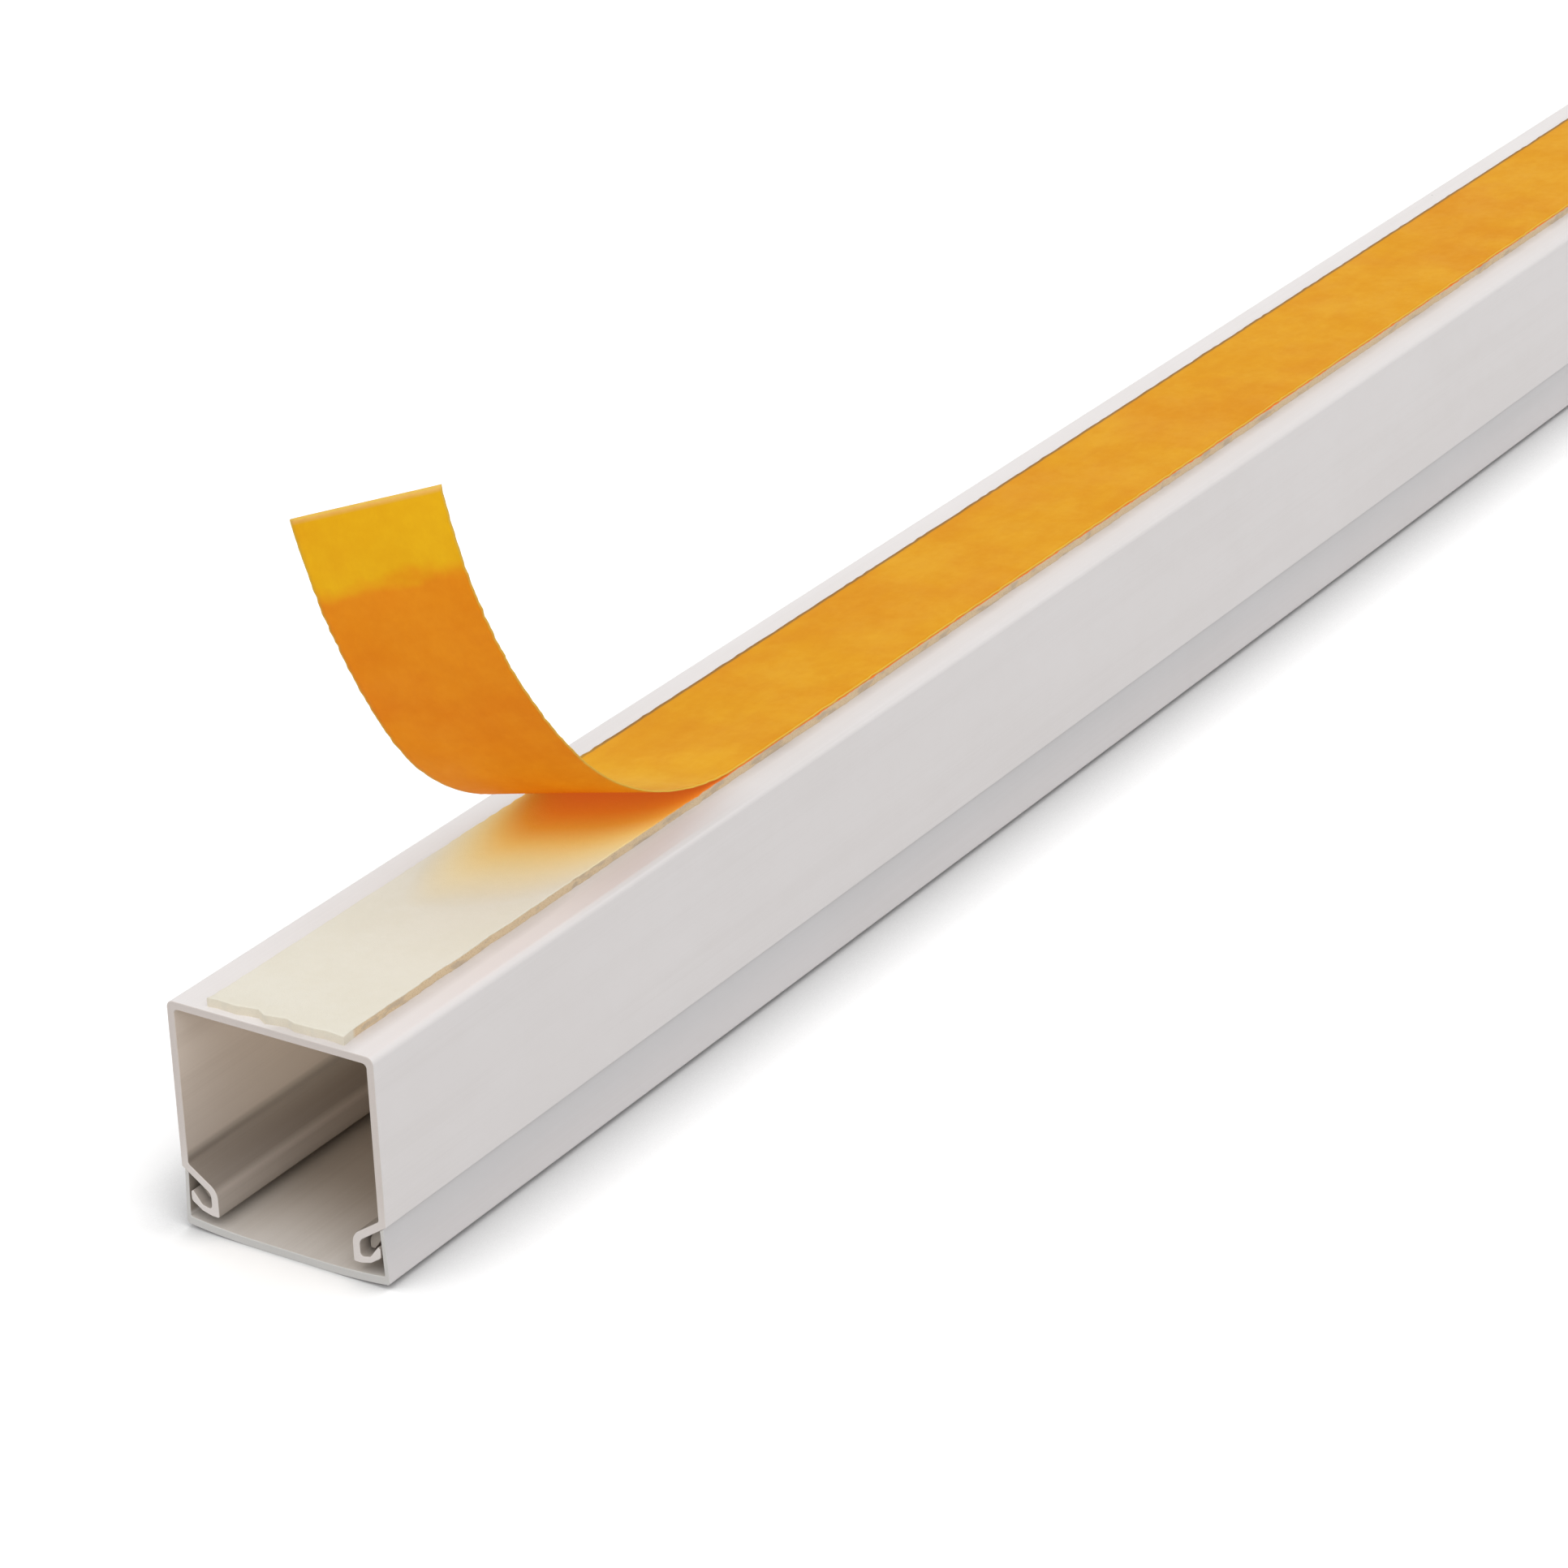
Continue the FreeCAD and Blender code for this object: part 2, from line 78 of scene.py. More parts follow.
class Wiring:
    """Places the nodes of one shader tree and joins their sockets."""

    def __init__(self, tree: bpy.types.NodeTree) -> None:
        """Starts on an empty tree.

        Args:
            tree: The node tree of a material, a world or a group.
        """
        tree.nodes.clear()
        self.tree = tree

    def node(self, kind: str, **settings: object) -> bpy.types.Node:
        """Places one node.

        Args:
            kind: Blender's name for the type of node.
            **settings: Properties of the node.

        Returns:
            The new node.
        """
        made = self.tree.nodes.new(kind)
        for name, value in settings.items():
            setattr(made, name, value)
        return made

    def feed(self, socket: Socket, value: Feed) -> None:
        """Links a socket to another, or sets its value.

        Args:
            socket: The input to fill.
            value: An output socket, a number, or the numbers of a colour or vector.
        """
        if isinstance(value, bpy.types.NodeSocket):
            self.tree.links.new(value, socket)
        elif socket.type == "RGBA" and len(value) == 3:
            socket.default_value = (*value, 1.0)
        else:
            socket.default_value = value

    def effect(self, group: bpy.types.NodeTree, **inputs: Feed) -> bpy.types.NodeOutputs:
        """Places a shared effect.

        Args:
            group: The effect's node group.
            **inputs: What feeds the group's inputs, with _ for a space in their names.

        Returns:
            The outputs of the placed group.
        """
        made = self.node("ShaderNodeGroup", node_tree=group)
        for name, value in inputs.items():
            self.feed(made.inputs[name.replace("_", " ")], value)
        return made.outputs

    def place(self) -> Socket:
        """Gives the place on the object, in metres."""
        return self.node("ShaderNodeTexCoord").outputs["Object"]

    def parts(self, vector: Feed) -> bpy.types.NodeOutputs:
        """Splits a vector.

        Args:
            vector: The vector.

        Returns:
            Its X, Y and Z.
        """
        made = self.node("ShaderNodeSeparateXYZ")
        self.feed(made.inputs[0], vector)
        return made.outputs

    def stretched(self, vector: Feed, scale: tuple[float, float, float]) -> Socket:
        """Scales a vector along its axes.

        Args:
            vector: The vector.
            scale: The factor for each axis.

        Returns:
            The scaled vector.
        """
        made = self.node("ShaderNodeMapping")
        self.feed(made.inputs["Vector"], vector)
        made.inputs["Scale"].default_value = scale
        return made.outputs[0]

    def noise(self, vector: Feed, scale: Feed, detail: float = 2.0, roughness: float = 0.5) -> Socket:
        """Gives a soft noise from 0 to 1.

        Args:
            vector: Where the noise is read.
            scale: How many lumps there are to a metre.
            detail: How many finer layers lie on top.
            roughness: How strong the finer layers are.

        Returns:
            The noise's value.
        """
        made = self.node("ShaderNodeTexNoise")
        self.feed(made.inputs["Vector"], vector)
        self.feed(made.inputs["Scale"], scale)
        made.inputs["Detail"].default_value = detail
        made.inputs["Roughness"].default_value = roughness
        return made.outputs[0]

    def sum(self, operation: str, first: Feed, second: Feed = 0.0) -> Socket:
        """Does one sum.

        Args:
            operation: Blender's name for the sum, such as ADD or MULTIPLY.
            first: The first value.
            second: The second value, where the sum has two.

        Returns:
            The result.
        """
        made = self.node("ShaderNodeMath", operation=operation)
        self.feed(made.inputs[0], first)
        self.feed(made.inputs[1], second)
        return made.outputs[0]

    def times(self, first: Feed, second: Feed) -> Socket:
        """Multiplies two values."""
        return self.sum("MULTIPLY", first, second)

    def plus(self, first: Feed, second: Feed) -> Socket:
        """Adds two values."""
        return self.sum("ADD", first, second)

    def blend(self, first: Feed, first_share: float, second: Feed, second_share: float) -> Socket:
        """Adds shares of two values."""
        return self.plus(self.times(first, first_share), self.times(second, second_share))

    def openness(self, reach: float, where: Feed) -> Socket:
        """Measures how open the space before a point is.

        Args:
            reach: How far from the point it counts, in metres.
            where: 1 where it is wanted, and 0 where its work is saved.

        Returns:
            The openness, from 0 to 1.
        """
        made = self.node("ShaderNodeAmbientOcclusion", samples=OCCLUSION_SAMPLES)
        self.feed(made.inputs["Distance"], self.times(where, reach))
        return made.outputs["AO"]

    def rise(self, value: Feed, low: float, high: float) -> Socket:
        """Turns a value into a mask.

        Args:
            value: What is measured.
            low: Where the mask is 0.
            high: Where the mask is 1; it may lie below low.

        Returns:
            The mask, with soft ends.
        """
        made = self.node("ShaderNodeMapRange", interpolation_type="SMOOTHSTEP")
        self.feed(made.inputs["Value"], value)
        made.inputs["From Min"].default_value = min(low, high)
        made.inputs["From Max"].default_value = max(low, high)
        made.inputs["To Min"].default_value = 0.0 if low < high else 1.0
        made.inputs["To Max"].default_value = 1.0 if low < high else 0.0
        return made.outputs[0]

    def mix(self, factor: Feed, first: Feed, second: Feed, mode: str = "MIX") -> Socket:
        """Blends two colours.

        Args:
            factor: The share of the second colour.
            first: The first colour.
            second: The second colour.
            mode: Blender's name for the way of blending.

        Returns:
            The colour.
        """
        made = self.node("ShaderNodeMix", data_type="RGBA", blend_type=mode)
        self.feed(made.inputs[MIX_FACTOR], factor)
        self.feed(made.inputs[MIX_FIRST], first)
        self.feed(made.inputs[MIX_SECOND], second)
        return made.outputs[MIX_RESULT]

    def tint(self, factor: Feed, colour: Feed, tint: Colour) -> Socket:
        """Multiplies a colour by a tint, as far as the factor goes."""
        return self.mix(factor, colour, tint, "MULTIPLY")

    def ramp(self, factor: Feed, stops: list[tuple[float, Colour]]) -> Socket:
        """Reads a colour off a ramp.

        Args:
            factor: The place on the ramp, from 0 to 1.
            stops: Places on the ramp and their colours.

        Returns:
            The colour.
        """
        made = self.node("ShaderNodeValToRGB")
        made.color_ramp.interpolation = "LINEAR"
        elements = made.color_ramp.elements
        for at, _ in stops[2:]:
            elements.new(at)
        for element, (at, colour) in zip(elements, stops):
            element.position = at
            element.color = (*colour, 1.0)
        self.feed(made.inputs[0], factor)
        return made.outputs[0]

    def bump(self, height: Feed, depth: float, strength: float) -> Socket:
        """Turns a height from 0 to 1 into a normal.

        Args:
            height: The height.
            depth: What a height of 1 stands for, in metres.
            strength: How much of it shows.

        Returns:
            The bent normal.
        """
        made = self.node("ShaderNodeBump")
        made.inputs["Strength"].default_value = strength
        made.inputs["Distance"].default_value = depth
        self.feed(made.inputs["Height"], height)
        return made.outputs[0]


def new_effect(name: str, inputs: dict[str, str], outputs: dict[str, str],
               ) -> tuple[Wiring, bpy.types.NodeOutputs, bpy.types.NodeInputs]:
    """Starts a shader node group that several finishes share.

    Args:
        name: The effect's name.
        inputs: The names and socket types of its inputs.
        outputs: The names and socket types of its outputs.

    Returns:
        Its wiring, the sockets of its inputs inside, and those of its outputs inside.
    """
    group = bpy.data.node_groups.new(name, "ShaderNodeTree")
    for direction, sockets in (("INPUT", inputs), ("OUTPUT", outputs)):
        for socket, kind in sockets.items():
            group.interface.new_socket(socket, in_out=direction, socket_type=kind)
    wiring = Wiring(group)
    return wiring, wiring.node("NodeGroupInput").outputs, wiring.node("NodeGroupOutput").inputs


def make_cloudiness() -> bpy.types.NodeTree:
    """Makes the effect of a faint, soft unevenness.

    Returns:
        A group that gives a mask from 0 to 1 around one half.
    """
    inputs = {"Vector": "NodeSocketVector", "Lumps": "NodeSocketFloat"}
    wiring, given, wanted = new_effect("cloudiness", inputs, {"Mask": "NodeSocketFloat"})
    broad = wiring.noise(given["Vector"], given["Lumps"], detail=3.0)
    fine = wiring.noise(given["Vector"], wiring.times(given["Lumps"], 7.0), detail=2.0)
    wiring.feed(wanted["Mask"], wiring.rise(wiring.blend(broad, 0.7, fine, 0.3), 0.32, 0.68))
    return wiring.tree


def make_drawn_lines() -> bpy.types.NodeTree:
    """Makes the effect of fine lines that a die leaves along the length.

    Returns:
        A group that gives the height of the lines from 0 to 1.
    """
    inputs = {"Vector": "NodeSocketVector"}
    wiring, given, wanted = new_effect("drawn_lines", inputs, {"Height": "NodeSocketFloat"})
    fine = wiring.noise(wiring.stretched(given["Vector"], (0.6, 90.0, 90.0)), 40.0, detail=3.0)
    broad = wiring.noise(wiring.stretched(given["Vector"], (0.8, 14.0, 14.0)), 25.0, detail=1.0)
    wiring.feed(wanted["Height"], wiring.blend(fine, 0.45, broad, 0.55))
    return wiring.tree


def make_specks() -> bpy.types.NodeTree:
    """Makes the effect of sparse tiny specks of dust.

    Returns:
        A group that gives a mask of the specks.
    """
    inputs = {"Vector": "NodeSocketVector", "Share": "NodeSocketFloat", "Radius": "NodeSocketFloat"}
    wiring, given, wanted = new_effect("specks", inputs, {"Mask": "NodeSocketFloat"})
    bent = wiring.node("ShaderNodeVectorMath", operation="ADD")
    wobble = wiring.node("ShaderNodeTexNoise")
    wobble.inputs["Scale"].default_value = 1500.0
    wiring.feed(wobble.inputs["Vector"], given["Vector"])
    small = wiring.node("ShaderNodeVectorMath", operation="SCALE")
    small.inputs["Scale"].default_value = 0.0003
    wiring.feed(small.inputs[0], wobble.outputs["Color"])
    wiring.feed(bent.inputs[0], given["Vector"])
    wiring.feed(bent.inputs[1], small.outputs[0])
    cells = wiring.node("ShaderNodeTexVoronoi")
    cells.inputs["Scale"].default_value = 260.0
    wiring.feed(cells.inputs["Vector"], bent.outputs[0])
    near = wiring.sum("LESS_THAN", cells.outputs["Distance"], given["Radius"])
    chosen = wiring.sum("LESS_THAN", wiring.parts(cells.outputs["Color"])[0], given["Share"])
    wiring.feed(wanted["Mask"], wiring.times(near, chosen))
    return wiring.tree


@dataclass(frozen=True)
class Effects:
    """The effects that the finishes share."""

    cloudiness: bpy.types.NodeTree
    drawn_lines: bpy.types.NodeTree
    specks: bpy.types.NodeTree


def new_finish(name: str) -> tuple[Wiring, bpy.types.Material]:
    """Starts a material.

    Args:
        name: The finish's name.

    Returns:
        Its wiring and the material.
    """
    material = bpy.data.materials.new(name)
    material.use_nodes = True
    return Wiring(material.node_tree), material


def close_finish(wiring: Wiring, colour: Feed, roughness: Feed, normal: Socket, specular: float,
                 glow: Feed | None = None) -> None:
    """Ends a finish with its shader.

    Args:
        wiring: The finish's wiring.
        colour: The base colour.
        roughness: The roughness.
        normal: The bent normal.
        specular: The strength of the gloss at a square look.
        glow: The colour of a painted glow, an emission that stands in for light coming through from behind,
            if any does.
    """
    shader = wiring.node("ShaderNodeBsdfPrincipled")
    shader.inputs["Specular IOR Level"].default_value = specular
    wiring.feed(shader.inputs["Base Color"], colour)
    wiring.feed(shader.inputs["Roughness"], roughness)
    wiring.feed(shader.inputs["Normal"], normal)
    if glow is not None:
        wiring.feed(shader.inputs["Emission Color"], glow)
        shader.inputs["Emission Strength"].default_value = 1.0
    output = wiring.node("ShaderNodeOutputMaterial")
    wiring.feed(output.inputs["Surface"], shader.outputs[0])


@dataclass(frozen=True)
class PvcTones:
    """The tones of one profile.

    The outer faces and the cut ends have a colour low down and one high up, and the inner faces have
    painted shade by their share of the height. Inner faces that come out into the open lose that painted
    shade and have the colour bared there.
    """

    shell: tuple[Colour, Colour]
    inside: list[tuple[float, Colour]]
    cut: tuple[Colour, Colour]
    bared: Colour | None = None


@dataclass(frozen=True)
class PvcFinish:
    """Satin white PVC: drawn lines along it, painted shade and light on the inside and dull cut ends. Sizes
    in metres.

    Pairs of numbers are where a change of tone starts and where it is full. Deep inside, through_wall is a
    painted glow: an emission that stands in for the daylight that comes through the thin walls.
    """

    name: str
    tones: PvcTones
    height: float
    half_length: float
    inside_reach: float
    inside_foot: float
    inside_top: float
    through_wall: Colour = (0.105, 0.088, 0.069)
    low_shell: tuple[float, float] = (1.0 * MM, 6.0 * MM)
    low_cut: tuple[float, float] = (3.0 * MM, 12.0 * MM)
    cut_depth: tuple[float, float] = (0.08 * MM, 0.02 * MM)
    end_light: tuple[float, float] = (16.0 * MM, 1.0 * MM)
    end_height: tuple[float, float] = (2.2 * MM, 1.6 * MM)
    painted_end_light: Colour = (0.80, 0.77, 0.73)
    end_share: float = 0.55
    enclosed_reach: float = 45.0 * MM
    enclosed_span: tuple[float, float] = (0.45, 0.75)
    cloud_tint: Colour = (0.97, 0.965, 0.955)
    streak_tint: Colour = (0.92, 0.91, 0.90)
    # The tint of adhesive smudges with painted shade and shadow on the back's right margin.
    smudge_and_shade_tint: Colour = (0.80, 0.785, 0.775)
    saw_tint: Colour = (0.90, 0.89, 0.88)
    dust: Colour = (0.30, 0.28, 0.26)
    daylight_depth: tuple[float, float] = (-4.0 * MM, 20.0 * MM)
    daylight_height: tuple[float, float] = (5.5 * MM, 9.5 * MM)
    smudge_and_shade_depth: tuple[float, float] = (0.35 * MM, 0.10 * MM)
    smudge_and_shade_side: tuple[float, float] = (2.0 * MM, -2.0 * MM)
    smudge_and_shade_by_tape: tuple[float, float] = (10.4 * MM, 8.8 * MM)
    liner_shadow_at: float = 52.0 * MM
    liner_shadow_reach: tuple[float, float] = (26.0 * MM, 4.0 * MM)
    smudge_and_shade_start: tuple[float, float] = (10.0 * MM, 60.0 * MM)

    def inside_mask(self, wiring: Wiring, place: bpy.types.NodeOutputs) -> Socket:
        """Masks the faces that look into the channel.

        Args:
            wiring: The finish's wiring.
            place: X, Y and Z on the object.

        Returns:
            The mask.
        """
        soft = 0.02 * MM
        reach, foot, top = self.inside_reach, self.inside_foot, self.inside_top
        across = wiring.rise(wiring.sum("ABSOLUTE", place[1]), reach + soft, reach - soft)
        above = wiring.rise(place[2], foot - soft, foot + soft)
        below = wiring.rise(place[2], top + soft, top - soft)
        return wiring.times(across, wiring.times(above, below))

    def inside_shade_and_light(self, wiring: Wiring, place: bpy.types.NodeOutputs, along: Socket,
                      inner: Socket) -> Socket:
        """Colours the inner faces: painted shade by their height, painted light low down near an end, and
        the bared colour in the open.

        Args:
            wiring: The finish's wiring.
            place: X, Y and Z on the object.
            along: The distance from the middle of the length.
            inner: The mask of the inner faces.

        Returns:
            The colour.
        """
        colour = wiring.ramp(wiring.sum("DIVIDE", place[2], self.height), self.tones.inside)
        # Painted light: inner faces low down turn paler near an open end.
        start, full = (self.half_length - depth for depth in self.end_light)
        by_end = wiring.times(wiring.rise(along, start, full), wiring.rise(place[2], *self.end_height))
        colour = wiring.mix(wiring.times(by_end, self.end_share), colour, self.painted_end_light)
        # Where the ambient occlusion finds an inner face open, the painted shade gives way to the bared
        # colour.
        if self.tones.bared:
            wanted = wiring.sum("GREATER_THAN", inner, 0.0)
            free = wiring.rise(wiring.openness(self.enclosed_reach, wanted), *self.enclosed_span)
            colour = wiring.mix(free, colour, self.tones.bared)
        return colour

    def smudge_and_shade_mask(self, wiring: Wiring, place: bpy.types.NodeOutputs, cloud: Socket) -> Socket:
        """Masks the darkened margin of the back, right of the tape: adhesive smudges with painted shade,
        greyest next to the tape, and a painted shadow of the lifted liner around the peel line.

        Args:
            wiring: The finish's wiring.
            place: X, Y and Z on the object.
            cloud: A soft unevenness from 0 to 1.

        Returns:
            The mask.
        """
        back = wiring.rise(place[2], *(self.height - depth for depth in self.smudge_and_shade_depth))
        right = wiring.rise(place[1], *self.smudge_and_shade_side)
        off_middle = wiring.sum("ABSOLUTE", place[1])
        patchy = wiring.plus(wiring.times(cloud, 0.5), 0.5)
        by_tape = wiring.times(wiring.rise(off_middle, *self.smudge_and_shade_by_tape), patchy)
        from_end = wiring.plus(place[0], self.half_length)
        # Painted shadow of the lifted liner on the margin, around its peel line.
        off_peel = wiring.sum("ABSOLUTE", wiring.plus(from_end, -self.liner_shadow_at))
        liner_shadow = wiring.times(wiring.rise(off_peel, *self.liner_shadow_reach), 0.75)
        spread = wiring.times(wiring.rise(from_end, *self.smudge_and_shade_start), 0.3)
        most = wiring.sum("MAXIMUM", liner_shadow, wiring.sum("MAXIMUM", by_tape, spread))
        return wiring.times(most, wiring.times(back, right))

    def build(self, effects: Effects) -> bpy.types.Material:
        """Builds the material.

        Args:
            effects: The shared effects.

        Returns:
            The material.
        """
        wiring, material = new_finish(self.name)
        point = wiring.place()
        place = wiring.parts(point)
        along = wiring.sum("ABSOLUTE", place[0])
        cut = wiring.rise(along, *(self.half_length - depth for depth in self.cut_depth))
        cloud = wiring.effect(effects.cloudiness, Vector=point, Lumps=60.0)["Mask"]
        lines = wiring.effect(effects.drawn_lines, Vector=point)["Height"]
        specks = wiring.effect(effects.specks, Vector=point, Share=0.012, Radius=0.05)["Mask"]
        saw = wiring.noise(wiring.stretched(point, (1.0, 0.3, 1.0)), 9000.0, detail=1.0)
        inner = self.inside_mask(wiring, place)
        # The shell's tone by height; on the lid it is painted shade high up.
        colour = wiring.mix(wiring.rise(place[2], *self.low_shell), *self.tones.shell)
        colour = wiring.mix(inner, colour, self.inside_shade_and_light(wiring, place, along, inner))
        colour = wiring.tint(wiring.times(cloud, 0.35), colour, self.cloud_tint)
        streak = wiring.times(wiring.rise(lines, 0.42, 0.66), wiring.plus(wiring.times(inner, 0.45), 0.25))
        colour = wiring.tint(streak, colour, self.streak_tint)
        # Adhesive smudges and painted shade on the back's right margin, with the liner's painted shadow.
        colour = wiring.tint(self.smudge_and_shade_mask(wiring, place, cloud), colour, self.smudge_and_shade_tint)
        colour = wiring.mix(wiring.times(specks, 0.6), colour, self.dust)
        sawn = wiring.mix(wiring.rise(place[2], *self.low_cut), *self.tones.cut)
        colour = wiring.mix(cut, colour, wiring.tint(wiring.times(saw, 0.5), sawn, self.saw_tint))
        roughness = wiring.plus(wiring.plus(wiring.times(cloud, 0.10), 0.34), wiring.times(cut, 0.3))
        height = wiring.plus(wiring.times(lines, 0.6), wiring.times(saw, cut))
        # A painted glow deep inside: emission that stands in for daylight through the thin walls.
        deep = wiring.rise(along, *(self.half_length - depth for depth in self.daylight_depth))
        deep = wiring.times(wiring.times(deep, wiring.rise(place[2], *self.daylight_height)), inner)
        glow = wiring.mix(deep, BLACK, self.through_wall)
        close_finish(wiring, colour, roughness, wiring.bump(height, 0.02 * MM, 0.35), 0.4, glow)
        return material


@dataclass(frozen=True)
class FoamFinish:
    """Cream double-sided foam tape, with painted orange light under the lifted liner. Sizes in metres."""

    name: str
    face: Colour
    side: Colour
    top: float
    half_length: float
    peel_at: float
    peel_slope: float
    glow_reach: float
    glow_middle: float
    half_width: float = 6.5 * MM
    sooner_left: float = 13.0 * MM
    sooner_right: float = 4.0 * MM
    level_share: float = 0.28
    cloud_tint: Colour = (0.965, 0.955, 0.925)
    pore_tint: Colour = (0.62, 0.5, 0.36)
    torn: Colour = (0.46, 0.38, 0.30)
    dust: Colour = (0.45, 0.36, 0.25)

    def from_peel(self, wiring: Wiring, place: bpy.types.NodeOutputs) -> Socket:
        """Measures how far a point is from where the liner leaves the tape, and from the tape's middle.

        Args:
            wiring: The finish's wiring.
            place: X, Y and Z on the object.

        Returns:
            0 at the peel line and 1 where the glow ends; it ends sooner towards the tape's edges.
        """
        line = wiring.plus(wiring.times(place[1], self.peel_slope), self.peel_at)
        gone = wiring.sum("SUBTRACT", line, place[0])
        off_middle = wiring.sum("DIVIDE", wiring.plus(place[1], -self.glow_middle), self.half_width)
        for side, sooner in ((1.0, self.sooner_left), (-1.0, self.sooner_right)):
            off = wiring.plus(wiring.times(off_middle, side), -self.level_share)
            off = wiring.sum("POWER", wiring.sum("MAXIMUM", off, 0.0), 2.0)
            gone = wiring.plus(gone, wiring.times(off, sooner))
        return wiring.sum("DIVIDE", gone, self.glow_reach)

    def upper_mask(self, wiring: Wiring, place: bpy.types.NodeOutputs) -> Socket:
        """Masks the tape's face, and most of its torn ends.

        Args:
            wiring: The finish's wiring.
            place: X, Y and Z on the object.

        Returns:
            The mask.
        """
        upper = wiring.rise(place[2], self.top - 0.16 * MM, self.top - 0.05 * MM)
        along = wiring.sum("ABSOLUTE", place[0])
        end = wiring.rise(along, self.half_length - 2.0 * MM, self.half_length - 1.4 * MM)
        return wiring.sum("MAXIMUM", upper, wiring.times(end, 0.8))

    def build(self, effects: Effects) -> bpy.types.Material:
        """Builds the material.

        Args:
            effects: The shared effects.

        Returns:
            The material.
        """
        wiring, material = new_finish(self.name)
        point = wiring.place()
        place = wiring.parts(point)
        upper = self.upper_mask(wiring, place)
        cloud = wiring.effect(effects.cloudiness, Vector=point, Lumps=170.0)["Mask"]
        specks = wiring.effect(effects.specks, Vector=point, Share=0.03, Radius=0.045)["Mask"]
        cells = wiring.node("ShaderNodeTexVoronoi")
        cells.inputs["Scale"].default_value = 5200.0
        wiring.feed(cells.inputs["Vector"], point)
        pores = wiring.rise(cells.outputs["Distance"], 0.5, 0.1)
        gone = self.from_peel(wiring, place)
        # Painted orange light on the tape's face by the peel line, standing in for light through the paper.
        painted_orange_light = wiring.ramp(gone, [
            (0.20, (0.56, 0.110, 0.008)),
            (0.32, (0.62, 0.170, 0.010)),
            (0.42, (0.68, 0.290, 0.040)),
            (0.52, (0.74, 0.470, 0.150)),
            (0.62, (0.77, 0.600, 0.300)),
            (0.75, (0.78, 0.680, 0.460)),
            (0.95, self.face),
        ])
        # A painted glow: emission that adds the same orange light, as if it came through the paper.
        glow = wiring.ramp(gone, [
            (0.20, (0.33, 0.080, 0.010)),
            (0.32, (0.29, 0.085, 0.008)),
            (0.42, (0.23, 0.095, 0.008)),
            (0.55, (0.19, 0.115, 0.018)),
            (0.68, (0.11, 0.080, 0.015)),
            (0.90, BLACK),
        ])
        face = wiring.tint(wiring.times(cloud, 0.6), painted_orange_light, self.cloud_tint)
        side = wiring.tint(wiring.times(pores, 0.4), self.side, self.pore_tint)
        tears = wiring.noise(wiring.stretched(point, (0.35, 1.0, 1.0)), 900.0, detail=3.0)
        side = wiring.mix(wiring.times(wiring.rise(tears, 0.50, 0.66), 0.55), side, self.torn)
        colour = wiring.mix(upper, side, face)
        colour = wiring.mix(wiring.times(specks, 0.35), colour, self.dust)
        roughness = wiring.plus(wiring.times(cloud, 0.15), 0.55)
        height = wiring.blend(cloud, 0.6, pores, -0.5)
        glow = wiring.mix(upper, BLACK, glow)
        close_finish(wiring, colour, roughness, wiring.bump(height, 0.05 * MM, 0.4), 0.2, glow)
        return material


class PaperSide(Enum):
    """The two faces of the release liner."""

    TOP = "liner_face"
    UNDERSIDE = "liner_underside"


PAPER_LAIN: Colour = (0.77, 0.365, 0.008)
PAPER_TIP: Colour = (1.0, 0.545, 0.006)
PAPER_LIFTED: Colour = (0.97, 0.325, 0.006)
# On the underside the tones are painted light: a pale highlight at the tip's edge, the yellow tip lit
# through the paper from behind, and a deeper orange further down that brightens towards the peel line with
# light bounced off the tape.
PAPER_TONES = {
    PaperSide.TOP: [(0.0, PAPER_LAIN), (0.55, PAPER_LAIN), (0.66, (0.84, 0.44, 0.020)), (0.80, PAPER_LAIN)],
    PaperSide.UNDERSIDE: [
        (0.003, (0.98, 0.58, 0.16)),
        (0.007, PAPER_TIP),
        (0.082, PAPER_TIP),
        (0.108, PAPER_LIFTED),
        (0.30, PAPER_LIFTED),
        (0.62, (1.0, 0.385, 0.008)),
    ],
}


